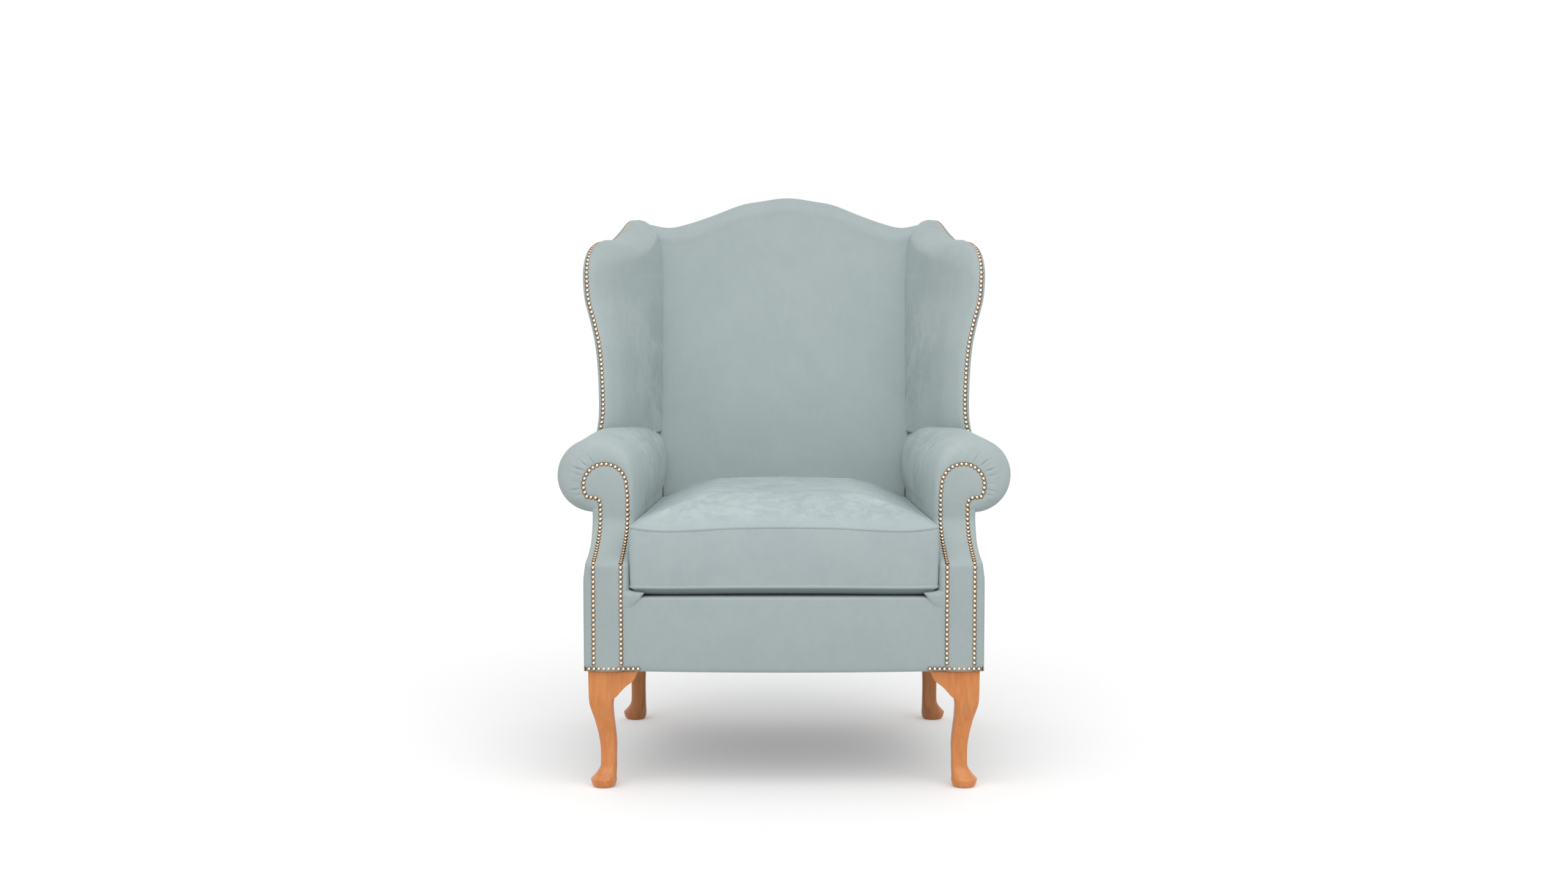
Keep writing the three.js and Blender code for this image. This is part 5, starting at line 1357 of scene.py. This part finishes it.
cushion = skin("loose_seat_cushion", grid, (0, 266, 425), cushion_velvet, round_rows=True)
mended(cushion, lambda mesh: bmesh.ops.holes_fill(mesh, edges=[e for e in mesh.edges if e.is_boundary]))


def points_of(mesh):
    """The points of a mesh, in metres."""
    held = np.empty(len(mesh.vertices) * 3)
    mesh.vertices.foreach_get("co", held)
    return held.reshape(-1, 3)


# The stuffing is simulated: it blows the panels up against the seams, which are held, and against the
# panel underneath, which lies on the deck.
steps_to_settle = 20
seam_reach = 0.007
most_moved = 0.007
even_mesh = cushion.modifiers.new("even", "REMESH")
even_mesh.mode = "VOXEL"
even_mesh.voxel_size = 0.005
evaluated(cushion)
before = points_of(cushion.data).copy()
seam_points = np.vstack([np.column_stack([rim, z + share * seam_bow(rim[:, 0], rim[:, 1])])
                         for z, share in ((piping_low, low_seam_share), (piping_high, 1))])
seam_points = seated(seam_points)
held = cushion.vertex_groups.new(name="seams")
for start in range(0, len(before), 2000):
    part = before[start:start + 2000]
    gap = np.min(np.linalg.norm(part[:, None] - seam_points[None], axis=2), 1)
    for i in np.nonzero((gap < seam_reach) | (part[:, 2] * 1000 < piping_low - 3))[0]:
        held.add([int(start + i)], 1.0, "REPLACE")
stuffing = cushion.modifiers.new("stuffing", "CLOTH")
settings = stuffing.settings
settings.quality = 6
settings.mass = 0.3
settings.tension_stiffness = 14
settings.compression_stiffness = 14
settings.shear_stiffness = 6
settings.bending_stiffness = 0.6
settings.use_pressure = True
settings.uniform_pressure_force = 4.0
settings.vertex_group_mass = "seams"
settings.effector_weights.gravity = 0
stuffing.point_cache.frame_start = 1
stuffing.point_cache.frame_end = steps_to_settle
for step in range(1, steps_to_settle + 1):
    bpy.context.scene.frame_set(step)
mesh = bpy.data.meshes.new_from_object(cushion.evaluated_get(bpy.context.evaluated_depsgraph_get()))
after = points_of(mesh)
cushion.modifiers.clear()
bpy.context.scene.frame_set(1)
moved = after - before
far = np.linalg.norm(moved, axis=1, keepdims=True)
capped = before + moved * np.minimum(1, most_moved / np.maximum(far, 1e-9))
cushion.data.vertices.foreach_set("co", capped.ravel())
cushion.vertex_groups.clear()
# The cushion keeps clear of the deck, the arms and the back.
points = points_of(cushion.data)
depth = points[:, 1] * 1000 + front_depth
points[:, 0] += flare(points[:, 0] * 1000, depth) / 1000
limit = (277.0 + np.abs(flare(277, depth)) - toe * depth) / 1000
points[:, 0] = np.clip(points[:, 0], -limit, limit)
points[:, 1] = np.clip(points[:, 1], -0.3865, (532.7 - front_depth) / 1000)
points[:, 2] = np.maximum(points[:, 2], cushion_bed / 1000)
cushion.data.vertices.foreach_set("co", points.ravel())
# People sit on the top and stroke it, and the boxing is brushed a little.
handled = 0.15 + 0.85 * np.clip((points[:, 2] * 1000 - piping_high - 6) / 14, 0, 1)
cushion.data.attributes.new("brushed", "FLOAT", "POINT").data.foreach_set("value", handled)
# Painted shade on the panel underneath, below the lower piping, where the border shadows it.
underneath = np.clip((piping_low - points[:, 2] * 1000) / 3, 0, 1)
cushion.data.attributes.new("against_nap", "FLOAT", "POINT").data.foreach_set("value", underneath)
cushion.data.polygons.foreach_set("use_smooth", [True] * len(cushion.data.polygons))
cushion.data.materials.clear()
cushion.data.materials.append(cushion_velvet)
smoother = cushion.modifiers.new("smooth_panels", "SUBSURF")
smoother.levels = 1
smoother.render_levels = 1
belongs(cushion, "cushion", "cushion_cover", "seat_cushion")

# Cushion piping. A cord in a bias strip of the same velvet, sewn into the upper and lower seam.
piping_radius = 3.8
piping_sides = 14
for name, height, share in (("top", piping_high, 1), ("bottom", piping_low, low_seam_share)):
    line = cushion_plan(3.8, 300)
    height_at = height + share * seam_bow(line[:, 0], line[:, 1])
    line[:, 0] += flare(line[:, 0], line[:, 1] - 4)
    way = np.roll(line, -1, 0) - np.roll(line, 1, 0)
    way /= np.linalg.norm(way, axis=1, keepdims=True)
    out = np.column_stack([way[:, 1], -way[:, 0]])
    rows = []
    for step in range(piping_sides):
        turn = 2 * math.pi * step / piping_sides
        ring = line + out * piping_radius * math.cos(turn)
        rows.append(np.column_stack([ring, height_at + piping_radius * math.sin(turn)]))
    rows.append(rows[0])
    piping = skin(f"piping_{name}", rows, (0, 266, height), cushion_velvet, round_rows=True)
    mended(piping, lambda mesh: bmesh.ops.remove_doubles(mesh, verts=mesh.verts, dist=1e-5))
    belongs(piping, "cushion", "cushion_piping", f"cushion_piping_{name}")
